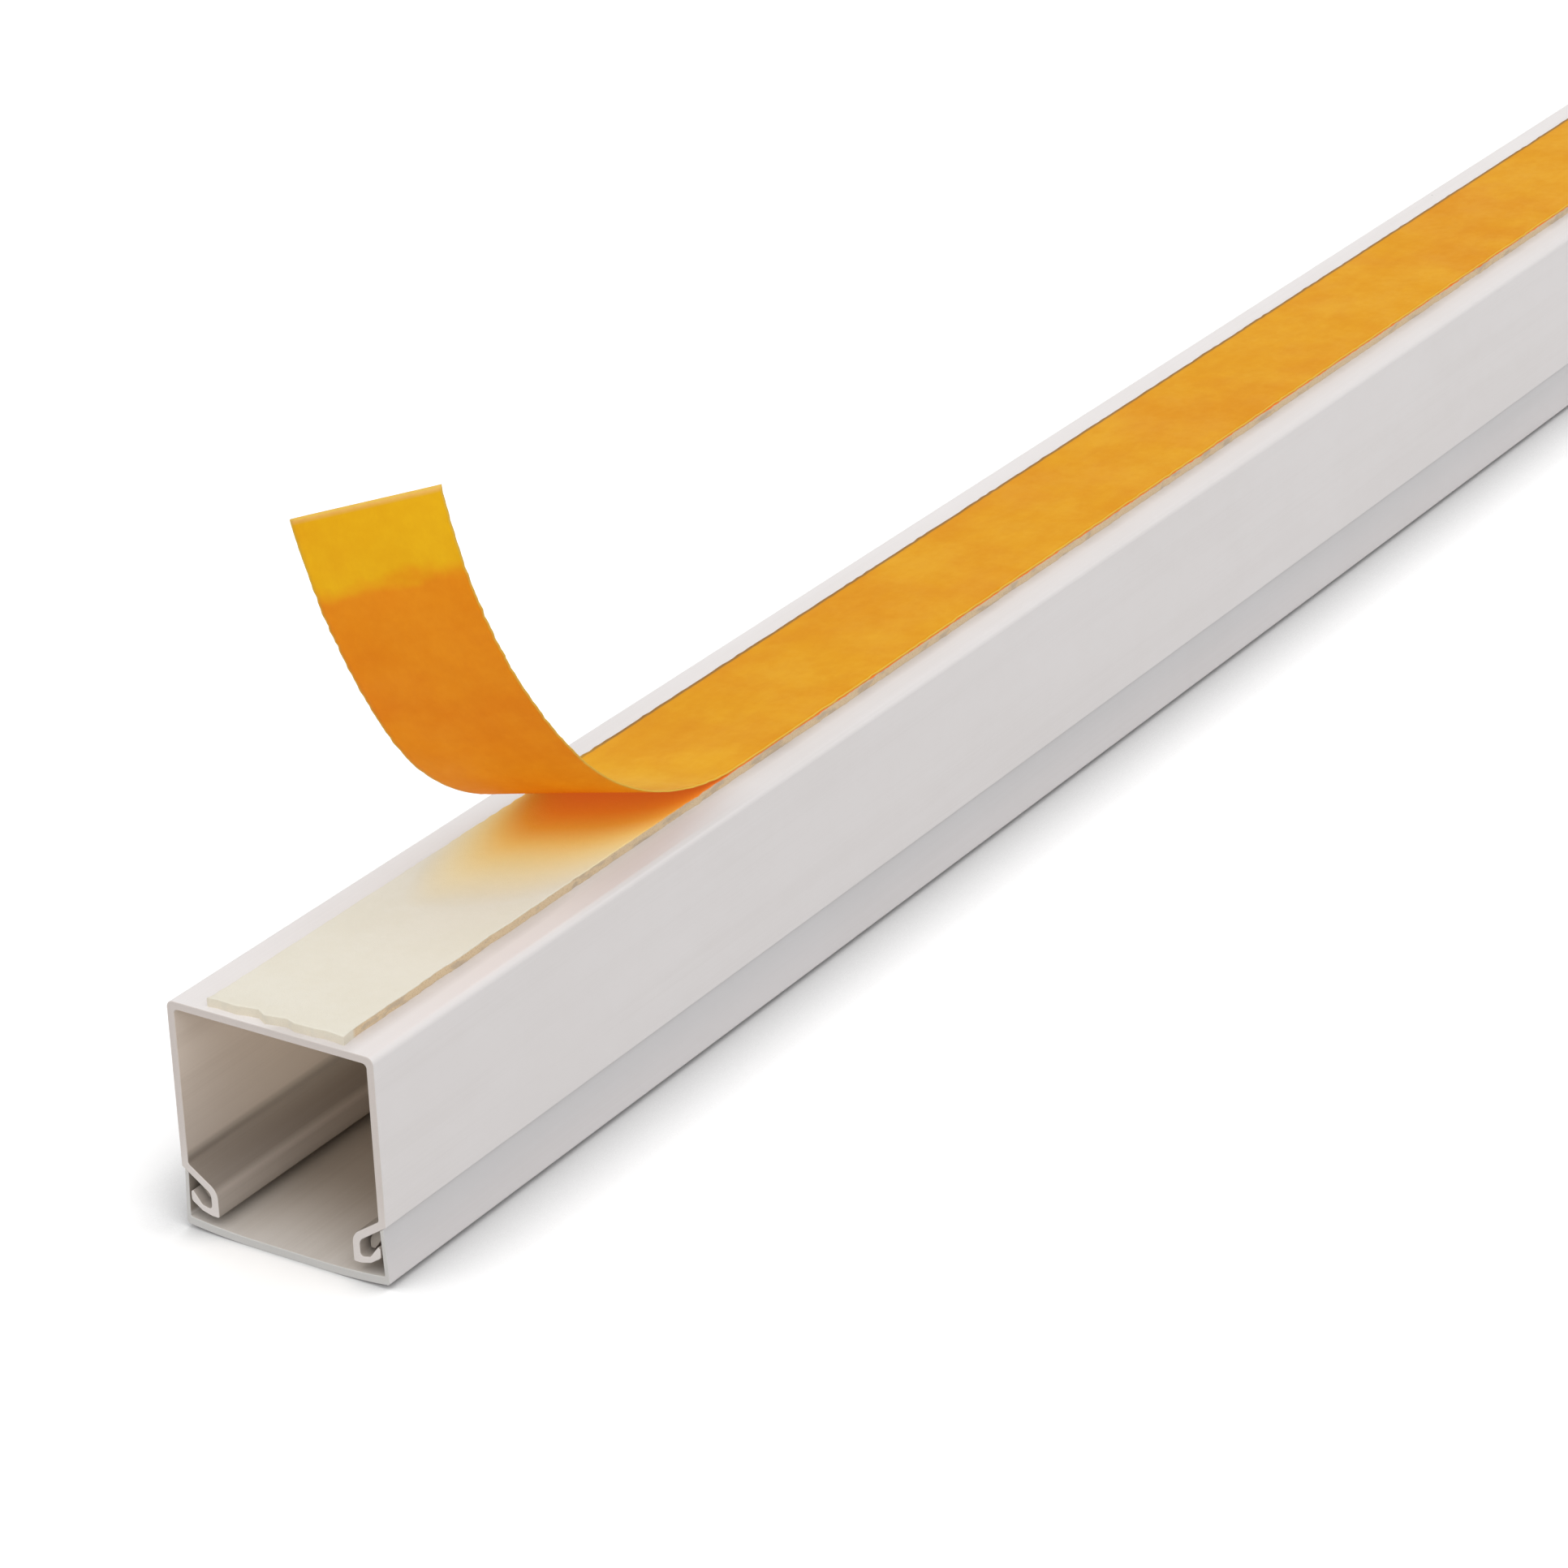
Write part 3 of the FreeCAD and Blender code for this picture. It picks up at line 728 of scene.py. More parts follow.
@dataclass(frozen=True)
class PaperFinish:
    """Yellow-orange release paper. The piece's UV map gives the distances from the tip and across.

    The tones are colours at distances from the tip, in shares of a tenth of a metre; on the underside they
    hold painted light.
    """

    side: PaperSide
    tones: list[tuple[float, Colour]]
    width: float
    # The pale rim is a painted highlight on the cut edges; the dark rim is a painted shadow along the flat
    # run's left edge.
    pale_rim_highlight: Colour = (0.88, 0.60, 0.10)
    dark_rim_shadow: Colour = (0.30, 0.14, 0.03)
    cloud_tint: Colour = (0.96, 0.89, 0.78)
    fibre_tint: Colour = (0.95, 0.89, 0.80)
    blotch_tint: Colour = (0.97, 0.88, 0.78)
    dust: Colour = (0.42, 0.20, 0.04)
    bounced: Colour = (0.66, 0.62, 0.56)
    bounced_share: float = 0.8
    tone_unit: float = 100.0 * MM

    def edged(self, wiring: Wiring, place: bpy.types.NodeOutputs, colour: Socket) -> Socket:
        """Colours the cut edges: a painted highlight, pale where the paper is lifted and on its right, and
        a painted shadow, dark on its flat left.

        Args:
            wiring: The finish's wiring.
            place: The distances from the tip and across.
            colour: The colour so far.

        Returns:
            The colour with its edges.
        """
        middle = wiring.sum("ABSOLUTE", wiring.sum("SUBTRACT", place[1], self.width / 2))
        rim = wiring.rise(middle, self.width / 2 - 0.24 * MM, self.width / 2 - 0.08 * MM)
        rim = wiring.sum("MAXIMUM", rim, wiring.rise(place[0], 0.3 * MM, 0.1 * MM))
        flat = wiring.rise(place[0], 62.0 * MM, 74.0 * MM)
        colour = wiring.mix(wiring.times(rim, 0.6), colour, self.pale_rim_highlight)
        shaded = wiring.rise(place[1], self.width - 0.55 * MM, self.width - 0.30 * MM)
        return wiring.mix(wiring.times(wiring.times(flat, shaded), 0.85), colour, self.dark_rim_shadow)

    def build(self, effects: Effects) -> bpy.types.Material:
        """Builds the material.

        Args:
            effects: The shared effects.

        Returns:
            The material.
        """
        wiring, material = new_finish(self.side.value)
        paper_map = wiring.node("ShaderNodeUVMap", uv_map="paper").outputs[0]
        lain = wiring.stretched(paper_map, (1 / MAP_SCALE,) * 3)
        place = wiring.parts(lain)
        cloud = wiring.effect(effects.cloudiness, Vector=lain, Lumps=120.0)["Mask"]
        grain = wiring.stretched(lain, (0.5, 1.0, 1.0))
        fibres = wiring.effect(effects.cloudiness, Vector=grain, Lumps=420.0)["Mask"]
        blotches = wiring.rise(wiring.noise(lain, 45.0, detail=3.0, roughness=0.6), 0.42, 0.62)
        creases = wiring.noise(wiring.stretched(lain, (1.0, 0.35, 1.0)), 900.0, detail=3.0)
        specks = wiring.effect(effects.specks, Vector=lain, Share=0.02, Radius=0.04)["Mask"]
        ragged = wiring.times(wiring.plus(wiring.noise(lain, 260.0), -0.5), 4.0 * MM)
        ragged = wiring.times(ragged, wiring.rise(place[0], 2.0 * MM, 8.0 * MM))
        reach = wiring.plus(place[0], ragged)
        colour = wiring.ramp(wiring.sum("DIVIDE", reach, self.tone_unit), self.tones)
        colour = wiring.tint(cloud, colour, self.cloud_tint)
        colour = wiring.tint(wiring.times(fibres, 0.6), colour, self.fibre_tint)
        colour = wiring.tint(blotches, colour, self.blotch_tint)
        colour = self.edged(wiring, place, colour)
        colour = wiring.mix(wiring.times(specks, 0.4), colour, self.dust)
        bounce = wiring.node("ShaderNodeLightPath").outputs["Is Diffuse Ray"]
        colour = wiring.mix(wiring.times(bounce, self.bounced_share), colour, self.bounced)
        roughness = wiring.plus(wiring.times(cloud, 0.12), 0.55)
        height = wiring.blend(creases, 0.6, cloud, 0.4)
        close_finish(wiring, colour, roughness, wiring.bump(height, 0.04 * MM, 0.4), 0.12)
        return material


@dataclass(frozen=True)
class Corner:
    """A corner of a section in millimetres, with the radius that rounds it."""

    across: float
    up: float
    radius: float = 0.0

    def point(self) -> Vector:
        """Gives the corner's place in metres on the plane of the near cut."""
        return Vector((0.0, self.across, self.up)) * MM


def extrude_flat(mesh: bmesh.types.BMesh, faces: list[bmesh.types.BMFace],
                 way: tuple[float, float, float]) -> None:
    """Extrudes the flat faces of a mesh into a closed solid, with its faces outward.

    Args:
        mesh: The mesh, which holds nothing else.
        faces: The flat faces.
        way: Where the far faces go from the near ones, in metres.
    """
    moved = bmesh.ops.extrude_face_region(mesh, geom=faces)["geom"]
    moved = [item for item in moved if isinstance(item, bmesh.types.BMVert)]
    bmesh.ops.translate(mesh, verts=moved, vec=way)
    bmesh.ops.recalc_face_normals(mesh, faces=mesh.faces[:])


@dataclass(frozen=True)
class Extrusion:
    """A run of plastic: half a section, mirrored, extruded, rounded and sawn off square. Millimetres.

    The corners of an open section run from middle plane to middle plane. A closed one stands clear of it,
    and makes a run on each side.
    """

    corners: list[Corner]
    length: float
    chamfer: float
    closed: bool = False
    small_radius: float = 0.45
    small_steps: int = 4
    large_steps: int = 7

    def draw_section(self, mesh: bmesh.types.BMesh) -> list[bmesh.types.BMFace]:
        """Draws the whole section at the near end.

        Args:
            mesh: The mesh to draw in.

        Returns:
            The section's faces.
        """
        points = [mesh.verts.new(corner.point()) for corner in self.corners]
        edges = [mesh.edges.new(pair) for pair in zip(points, points[1:])]
        if self.closed:
            edges.append(mesh.edges.new((points[-1], points[0])))
        bmesh.ops.mirror(mesh, geom=points + edges, matrix=Matrix(), merge_dist=MERGED_WITHIN, axis="Y")
        faces = bmesh.ops.edgeloop_fill(mesh, edges=mesh.edges[:])["faces"]
        near_end = (self.chamfer - self.length / 2) * MM
        bmesh.ops.translate(mesh, verts=mesh.verts[:], vec=(near_end, 0.0, 0.0))
        return faces

    def long_edges(self, mesh: bmesh.types.BMesh, corner: Corner) -> list[bmesh.types.BMEdge]:
        """Finds the long edges at a corner and at its mirror image.

        Args:
            mesh: The extruded section.
            corner: The corner.

        Returns:
            The edges.
        """
        found = []
        for edge in mesh.edges:
            first, second = (vert.co for vert in edge.verts)
            middle = (first + second) / 2
            off_place = max(abs(abs(middle.y) - corner.across * MM), abs(middle.z - corner.up * MM))
            if abs(first.x - second.x) > self.length * MM / 2 and off_place < FOUND_WITHIN:
                found.append(edge)
        return found

    def setback(self, number: int) -> float:
        """Works out how far a corner's rounding reaches along its sides.

        Args:
            number: The corner's place in the list.

        Returns:
            The reach in millimetres.
        """
        around = (self.corners[(number + step) % len(self.corners)] for step in (-1, 0, 1))
        before, corner, after = (item.point() for item in around)
        turn = math.pi - (before - corner).angle(after - corner)
        return self.corners[number].radius * math.tan(turn / 2)

    def add_to(self, piece: bmesh.types.BMesh) -> None:
        """Builds the run and adds it to a piece.

        Args:
            piece: The piece's mesh.
        """
        mesh = bmesh.new()
        extrude_flat(mesh, self.draw_section(mesh), ((self.length - 2 * self.chamfer) * MM, 0.0, 0.0))
        for number, corner in enumerate(self.corners):
            if corner.radius:
                steps = self.large_steps if corner.radius > self.small_radius else self.small_steps
                bmesh.ops.bevel(
                    mesh, geom=self.long_edges(mesh, corner), offset=self.setback(number) * MM,
                    offset_type="OFFSET", segments=steps, profile=0.5, affect="EDGES", material=-1,
                    clamp_overlap=False,
                )
        caps = [item for item in mesh.faces if abs(item.normal.x) > END_FACING]
        bmesh.ops.inset_region(
            mesh, faces=caps, thickness=self.chamfer * MM, depth=self.chamfer * MM, use_even_offset=True,
        )
        run = bpy.data.meshes.new("run")
        mesh.to_mesh(run)
        mesh.free()
        piece.from_mesh(run)
        bpy.data.meshes.remove(run)


def finish_piece(mesh: bmesh.types.BMesh, name: str, sharp_above: float,
                 even_faces: bool = True) -> bpy.types.Object:
    """Turns a worked mesh into an object at the origin, smooth but for its sharp edges.

    Args:
        mesh: The worked mesh, which is freed.
        name: The object's name.
        sharp_above: The angle in degrees above which an edge stays sharp.
        even_faces: Whether large faces set the shading of the roundings beside them.

    Returns:
        The object, linked to the scene.
    """
    data = bpy.data.meshes.new(name)
    mesh.to_mesh(data)
    mesh.free()
    data.shade_smooth()
    data.set_sharp_from_angle(angle=math.radians(sharp_above))
    piece = bpy.data.objects.new(name, data)
    bpy.context.scene.collection.objects.link(piece)
    if even_faces:
        weights = piece.modifiers.new("even_faces", "WEIGHTED_NORMAL")
        weights.keep_sharp = True
        weights.weight = 50
    return piece


def hand_over(piece: bpy.types.Object, node: str, body: Body) -> None:
    """Lets a piece stand for a CAD node and ride on its body.

    Args:
        piece: The finished piece.
        node: The CAD node that it stands for.
        body: The body that it moves with.
    """
    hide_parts(node)
    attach(piece, body.value)
    log.info("%s: %d faces, rides on %s", piece.name, len(piece.data.polygons), body.value)


CHANNEL_TONES = PvcTones(
    shell=((0.785, 0.752, 0.745), (0.785, 0.752, 0.745)),
    # The inner tones are painted shade: browner and darker than the shell, darkest at the shelves and the
    # rails' feet, and lightest up under the back.
    inside=[
        (0.08, (0.36, 0.32, 0.28)),
        (0.12, (0.48, 0.43, 0.385)),
        (0.19, (0.50, 0.445, 0.40)),
        (0.215, (0.27, 0.235, 0.205)),
        (0.31, (0.29, 0.25, 0.215)),
        (0.35, (0.62, 0.545, 0.48)),
        (0.75, (0.84, 0.745, 0.655)),
    ],
    cut=((0.74, 0.69, 0.66), (0.64, 0.58, 0.545)),
)
# The lid's outer faces darken high up, a painted shade under the channel's overhanging walls; its inner
# tone is painted shade in the cavity.
LID_TONES = PvcTones(
    shell=((0.73, 0.70, 0.70), (0.65, 0.635, 0.64)),
    inside=[(0.0, (0.375, 0.33, 0.285)), (0.2, (0.375, 0.33, 0.285))],
    cut=((0.60, 0.59, 0.57), (0.66, 0.62, 0.58)),
    bared=(0.74, 0.715, 0.70),
)


@dataclass(frozen=True)
class Trunking:
    """The channel and the lid that clips into it. Sizes in millimetres, as in the CAD source's sheet."""

    length: float = 400.0
    width: float = 25.0
    height: float = 25.35
    wall: float = 0.85
    back: float = 0.85
    shelf_slope: float = math.radians(34.0)
    shelf: float = 0.85
    rail_web: float = 0.85
    rail_gap: float = 0.7
    groove_height: float = 1.8
    lip: float = 0.7
    lip_end: float = 0.95
    lip_width: float = 1.3
    lip_rise: float = 0.3
    lip_edge: float = 0.25
    lid_plate: float = 0.9
    lid_flat: float = 9.0
    lid_bow: float = 0.55
    straight_end: float = 0.6
    flange: float = 0.42
    flange_root: float = 0.55
    flange_lean: float = 0.35
    barb: float = 0.55
    barb_room: float = 0.55
    barb_lift: float = 0.4
    barb_setback: float = 1.0
    hook_gap: float = 1.35
    clearance: float = 0.1
    joint: float = 0.02
    chamfer: float = 0.06
    sharp_above: float = 35.0

    def half(self) -> float:
        """Gives half the width."""
        return self.width / 2

    def flange_inside(self) -> float:
        """Gives the distance from the middle to the inside of a flange's top."""
        return self.half() - self.flange_lean - self.flange

    def lip_outside(self) -> float:
        """Gives the distance from the middle to a lip's outer face."""
        return self.flange_inside() - self.clearance

    def lip_knee(self) -> float:
        """Gives the distance from the middle to the knee of a lip."""
        return self.lip_outside() - self.lip_width

    def barb_inside(self) -> float:
        """Gives the distance from the middle to a barb's inner face."""
        return self.lip_knee() - self.clearance - self.barb

    def web_outside(self) -> float:
        """Gives the distance from the middle to a rail's web, on the groove's side."""
        return self.barb_inside() - self.barb_room

    def rail_foot(self) -> float:
        """Gives the height of a rail's foot."""
        return self.lid_plate + self.lid_bow + self.rail_gap

    def groove_floor(self) -> float:
        """Gives the height of the groove's floor at the web."""
        return self.rail_foot() + self.lip

    def under_shelf(self, across: float, below: float = 0.0) -> float:
        """Gives the height of the shelf's lower face at a distance from the middle.

        Args:
            across: The distance from the middle.
            below: How far under that face to measure, square to it.

        Returns:
            The height.
        """
        run = across - self.web_outside()
        drop = below / math.cos(self.shelf_slope)
        return self.groove_floor() + self.groove_height + run * math.tan(self.shelf_slope) - drop

    def barb_root(self) -> float:
        """Gives the height at which a barb's lower face leaves its flange."""
        return self.under_shelf(self.flange_inside(), self.clearance + self.barb)

    def channel_section(self) -> list[Corner]:
        """Lists the corners of the channel's half section.

        Returns:
            The corners, from the back's outer face to its inner one.
        """
        half, wall_inside = self.half(), self.half() - self.wall
        web_outside, web_inside = self.web_outside(), self.web_outside() - self.rail_web
        lip_outside, knee = self.lip_outside(), self.lip_knee()
        foot, floor = self.rail_foot(), self.groove_floor()
        lip_top = self.barb_root() - self.hook_gap
        back_inside = self.height - self.back
        return [
            Corner(0.0, self.height),
            Corner(half, self.height, radius=0.8),
            Corner(half, self.under_shelf(half), radius=0.1),
            Corner(web_outside, self.under_shelf(web_outside), radius=0.9),
            Corner(web_outside, floor, radius=0.4),
            Corner(knee, floor + self.lip_rise, radius=0.3),
            Corner(lip_outside - self.lip_edge, lip_top + self.lip_edge, radius=0.1),
            Corner(lip_outside, lip_top),
            Corner(lip_outside, lip_top - self.lip_end, radius=0.5),
            Corner(knee, foot + self.lip_rise, radius=0.8),
            Corner(web_outside, foot, radius=0.3),
            Corner(web_inside, foot, radius=0.2),
            Corner(web_inside, self.under_shelf(web_inside, -self.shelf), radius=1.6),
            Corner(wall_inside, self.under_shelf(wall_inside, -self.shelf), radius=0.4),
            Corner(wall_inside, back_inside, radius=0.5),
            Corner(0.0, back_inside),
        ]

    def bow_corner(self, thickness: float, end_across: float) -> tuple[Corner, Corner]:
        """Works out one face of the bowed plate.

        Args:
            thickness: The height of this face over the lowest one, in the flat middle.
            end_across: The distance from the middle to the face's end.

        Returns:
            The corner that its bow rounds, and the corner at its end.
        """
        flat_edge = self.lid_flat / 2
        run = self.half() - flat_edge
        radius = (run ** 2 + self.lid_bow ** 2) / (2 * self.lid_bow) - thickness
        turn = math.asin((end_across - self.straight_end - flat_edge) / radius)
        end_up = thickness + radius * (1 - math.cos(turn)) + self.straight_end * math.tan(turn)
        bend = Corner(flat_edge + radius * math.tan(turn / 2), thickness, radius)
        return bend, Corner(end_across, end_up)

    def lid_section(self) -> list[Corner]:
        """Lists the corners of the lid's half section, without its barb.

        Returns:
            The corners, from the plate's outer face to its inner one.
        """
        flange_top, inside = self.half() - self.flange_lean, self.flange_inside()
        outer_bend, outer_end = self.bow_corner(0.0, self.half())
        inner_bend, inner_end = self.bow_corner(self.lid_plate, self.half() - self.flange_root)
        return [
            Corner(0.0, 0.0),
            outer_bend,
            Corner(outer_end.across, outer_end.up, radius=0.35),
            Corner(flange_top, self.under_shelf(flange_top, self.joint)),
            Corner(inside, self.under_shelf(inside, self.joint)),
            Corner(inner_end.across, inner_end.up, radius=0.25),
            inner_bend,
            Corner(0.0, self.lid_plate),
        ]

    def barb_section(self) -> list[Corner]:
        """Lists the corners of a barb, which starts inside its flange.

        Returns:
            The corners.
        """
        outside, inside = self.lip_knee() - self.clearance, self.barb_inside()
        tip = self.groove_floor() + self.lip_rise + self.barb_lift
        sunk = self.flange * 0.4
        rise = (self.barb_root() - tip) / (self.flange_inside() - outside) * sunk
        root = self.flange_inside() + sunk
        return [
            Corner(root, self.under_shelf(root, self.clearance)),
            Corner(inside, self.under_shelf(inside, self.clearance), radius=1.3),
            Corner(inside, tip, radius=0.2),
            Corner(outside, tip, radius=0.15),
            Corner(root, self.barb_root() + rise),
        ]

    def finish(self, name: str, tones: PvcTones, wall_inside: float, foot: float) -> PvcFinish:
        """Picks the finish of one profile.

        Args:
            name: The finish's name.
            tones: The profile's tones.
            wall_inside: The distance from the middle within which faces look inward.
            foot: The height above which they do.

        Returns:
            The finish.
        """
        return PvcFinish(
            name=name, tones=tones, height=self.height * MM, half_length=self.length / 2 * MM,
            inside_reach=wall_inside * MM, inside_foot=foot * MM,
            inside_top=(self.height - self.back / 2) * MM,
        )

    def build(self, effects: Effects) -> None:
        """Builds and dresses the channel and the lid.

        Args:
            effects: The shared effects.
        """
        mesh = bmesh.new()
        Extrusion(self.channel_section(), self.length, self.chamfer).add_to(mesh)
        channel = finish_piece(mesh, "channel_profile", self.sharp_above)
        look = self.finish("channel_pvc", CHANNEL_TONES, self.half() - self.wall / 2, 0.0)
        channel.data.materials.append(look.build(effects))
        hand_over(channel, "base_channel", Body.CHANNEL)
        mesh = bmesh.new()
        Extrusion(self.lid_section(), self.length, self.chamfer).add_to(mesh)
        barb_length = self.length - 2 * self.barb_setback
        Extrusion(self.barb_section(), barb_length, self.chamfer, closed=True).add_to(mesh)
        lid = finish_piece(mesh, "lid_profile", self.sharp_above)
        flange_middle = self.flange_inside() + self.flange / 2
        look = self.finish("lid_pvc", LID_TONES, flange_middle, self.lid_plate * 0.8)
        lid.data.materials.append(look.build(effects))
        hand_over(lid, "lid", Body.COVER)


def wander(at: float, lumps: float, row: float, sheet: float) -> float:
    """Gives how far a worn edge strays, as a share of its reach.

    Args:
        at: The place along the edge, in millimetres.
        lumps: How many swells there are to a millimetre.
        row: Picks the pattern, together with sheet.
        sheet: Picks the pattern, together with row.

    Returns:
        A smooth random value from -1 to 1, the same in each run.
    """
    return noise.noise(Vector((at * lumps, row, sheet)))


@dataclass(frozen=True)
class FoamTape:
    """The foam tape along the back, with ragged edges and a torn near end. Sizes in millimetres."""

    length: float = 398.2
    width: float = 16.2
    thickness: float = 1.0
    shift: float = -0.3
    foot: float = 25.35
    rounding: float = 0.12
    wave: float = 0.10
    nibble: float = 0.13
    trim: float = 0.05
    tear: float = 0.5
    fine_tear: float = 0.2
    tear_reach: float = 4.0
    flare: float = 0.03
    notch_at: float = 2.8
    notch_width: float = 0.7
    notch_depth: float = 0.55
    liner_right: float = -8.4
    peel_right: float = -129.6
    peel_slope: float = -0.642
    steps_along: int = 760
    steps_across: int = 14

    def worn_place(self, along: float, across: float) -> Vector:
        """Moves a point of the flat tape as its worn outline asks.

        Args:
            along: The distance from the middle of the length, in millimetres.
            across: The distance from the middle of the tape, in millimetres.

        Returns:
            The point's place in millimetres, at the tape's foot.
        """
        rim = abs(across) / (self.width / 2)
        side = math.copysign(1.0, across)
        wave = wander(along, 0.22, side * 7.0, 3.0) * self.wave
        nibble = wander(along, 0.9, side * 11.0, 5.0) * self.nibble
        across += side * (wave + nibble - self.trim) * rim ** 6
        near = max(0.0, 1.0 - (along + self.length / 2) / self.tear_reach) ** 2
        torn = wander(across, 0.55, 9.0, 1.0) * self.tear
        torn += wander(across, 2.4, 2.0, 8.0) * self.fine_tear
        notch = math.exp(-((across - self.notch_at) / self.notch_width) ** 2) * self.notch_depth
        spread = across + near * self.flare * across
        return Vector((along + near * (torn + notch), spread + self.shift, self.foot))

    def build(self, effects: Effects) -> None:
        """Builds and dresses the tape.

        Args:
            effects: The shared effects.
        """
        mesh = bmesh.new()
        bmesh.ops.create_grid(mesh, x_segments=self.steps_along, y_segments=self.steps_across, size=0.5)
        for vert in mesh.verts:
            vert.co = self.worn_place(vert.co.x * self.length, vert.co.y * self.width) * MM
        extrude_flat(mesh, mesh.faces[:], (0.0, 0.0, self.thickness * MM))
        upper = (self.foot + self.thickness / 2) * MM
        edges = [edge for edge in mesh.edges
                 if edge.calc_face_angle(0.0) > 1.0 and min(vert.co.z for vert in edge.verts) > upper]
        bmesh.ops.bevel(
            mesh, geom=edges, offset=self.rounding * MM, offset_type="OFFSET", segments=2, profile=0.5,
            affect="EDGES", material=-1, clamp_overlap=True,
        )
        tape = finish_piece(mesh, "foam_strip", sharp_above=50.0)
        finish = FoamFinish(
            name="tape_foam", face=(0.775, 0.74, 0.64), side=(0.74, 0.58, 0.38),
            top=(self.foot + self.thickness) * MM, half_length=self.length / 2 * MM,
            peel_at=(self.peel_right - self.peel_slope * self.liner_right) * MM,
            peel_slope=self.peel_slope, glow_reach=40.0 * MM, glow_middle=-0.8 * MM,
        )
        tape.data.materials.append(finish.build(effects))
        hand_over(tape, "foam_tape", Body.CHANNEL)


@dataclass(frozen=True)
class LinerEdge:
    """One long edge of the release liner: flat on the tape, then two bends up. Millimetres and degrees."""

    across: float
    peel: float
    curl_radius: float
    curl_angle: float
    rise_radius: float
    tip_angle: float

    def lengths(self, flat: float) -> tuple[float, float, float]:
        """Gives the lengths of the flat run and of both bends.

        Args:
            flat: The length of the flat run.

        Returns:
            The three lengths.
        """
        curl = self.curl_radius * math.radians(self.curl_angle)
        rise = self.rise_radius * math.radians(self.tip_angle - self.curl_angle)
        return flat, curl, rise

    def bend_point(self, angle: float) -> tuple[float, float]:
        """Finds a point on the bends.

        Args:
            angle: The slope at the point, in degrees.

        Returns:
            Its distance past the peel line and its height over the tape.
        """
        slope, knee = math.radians(angle), math.radians(min(angle, self.curl_angle))
        back = self.curl_radius * math.sin(knee)
        up = self.curl_radius * (1 - math.cos(knee))
        back += self.rise_radius * (math.sin(slope) - math.sin(knee))
        up += self.rise_radius * (math.cos(knee) - math.cos(slope))
        return back, up


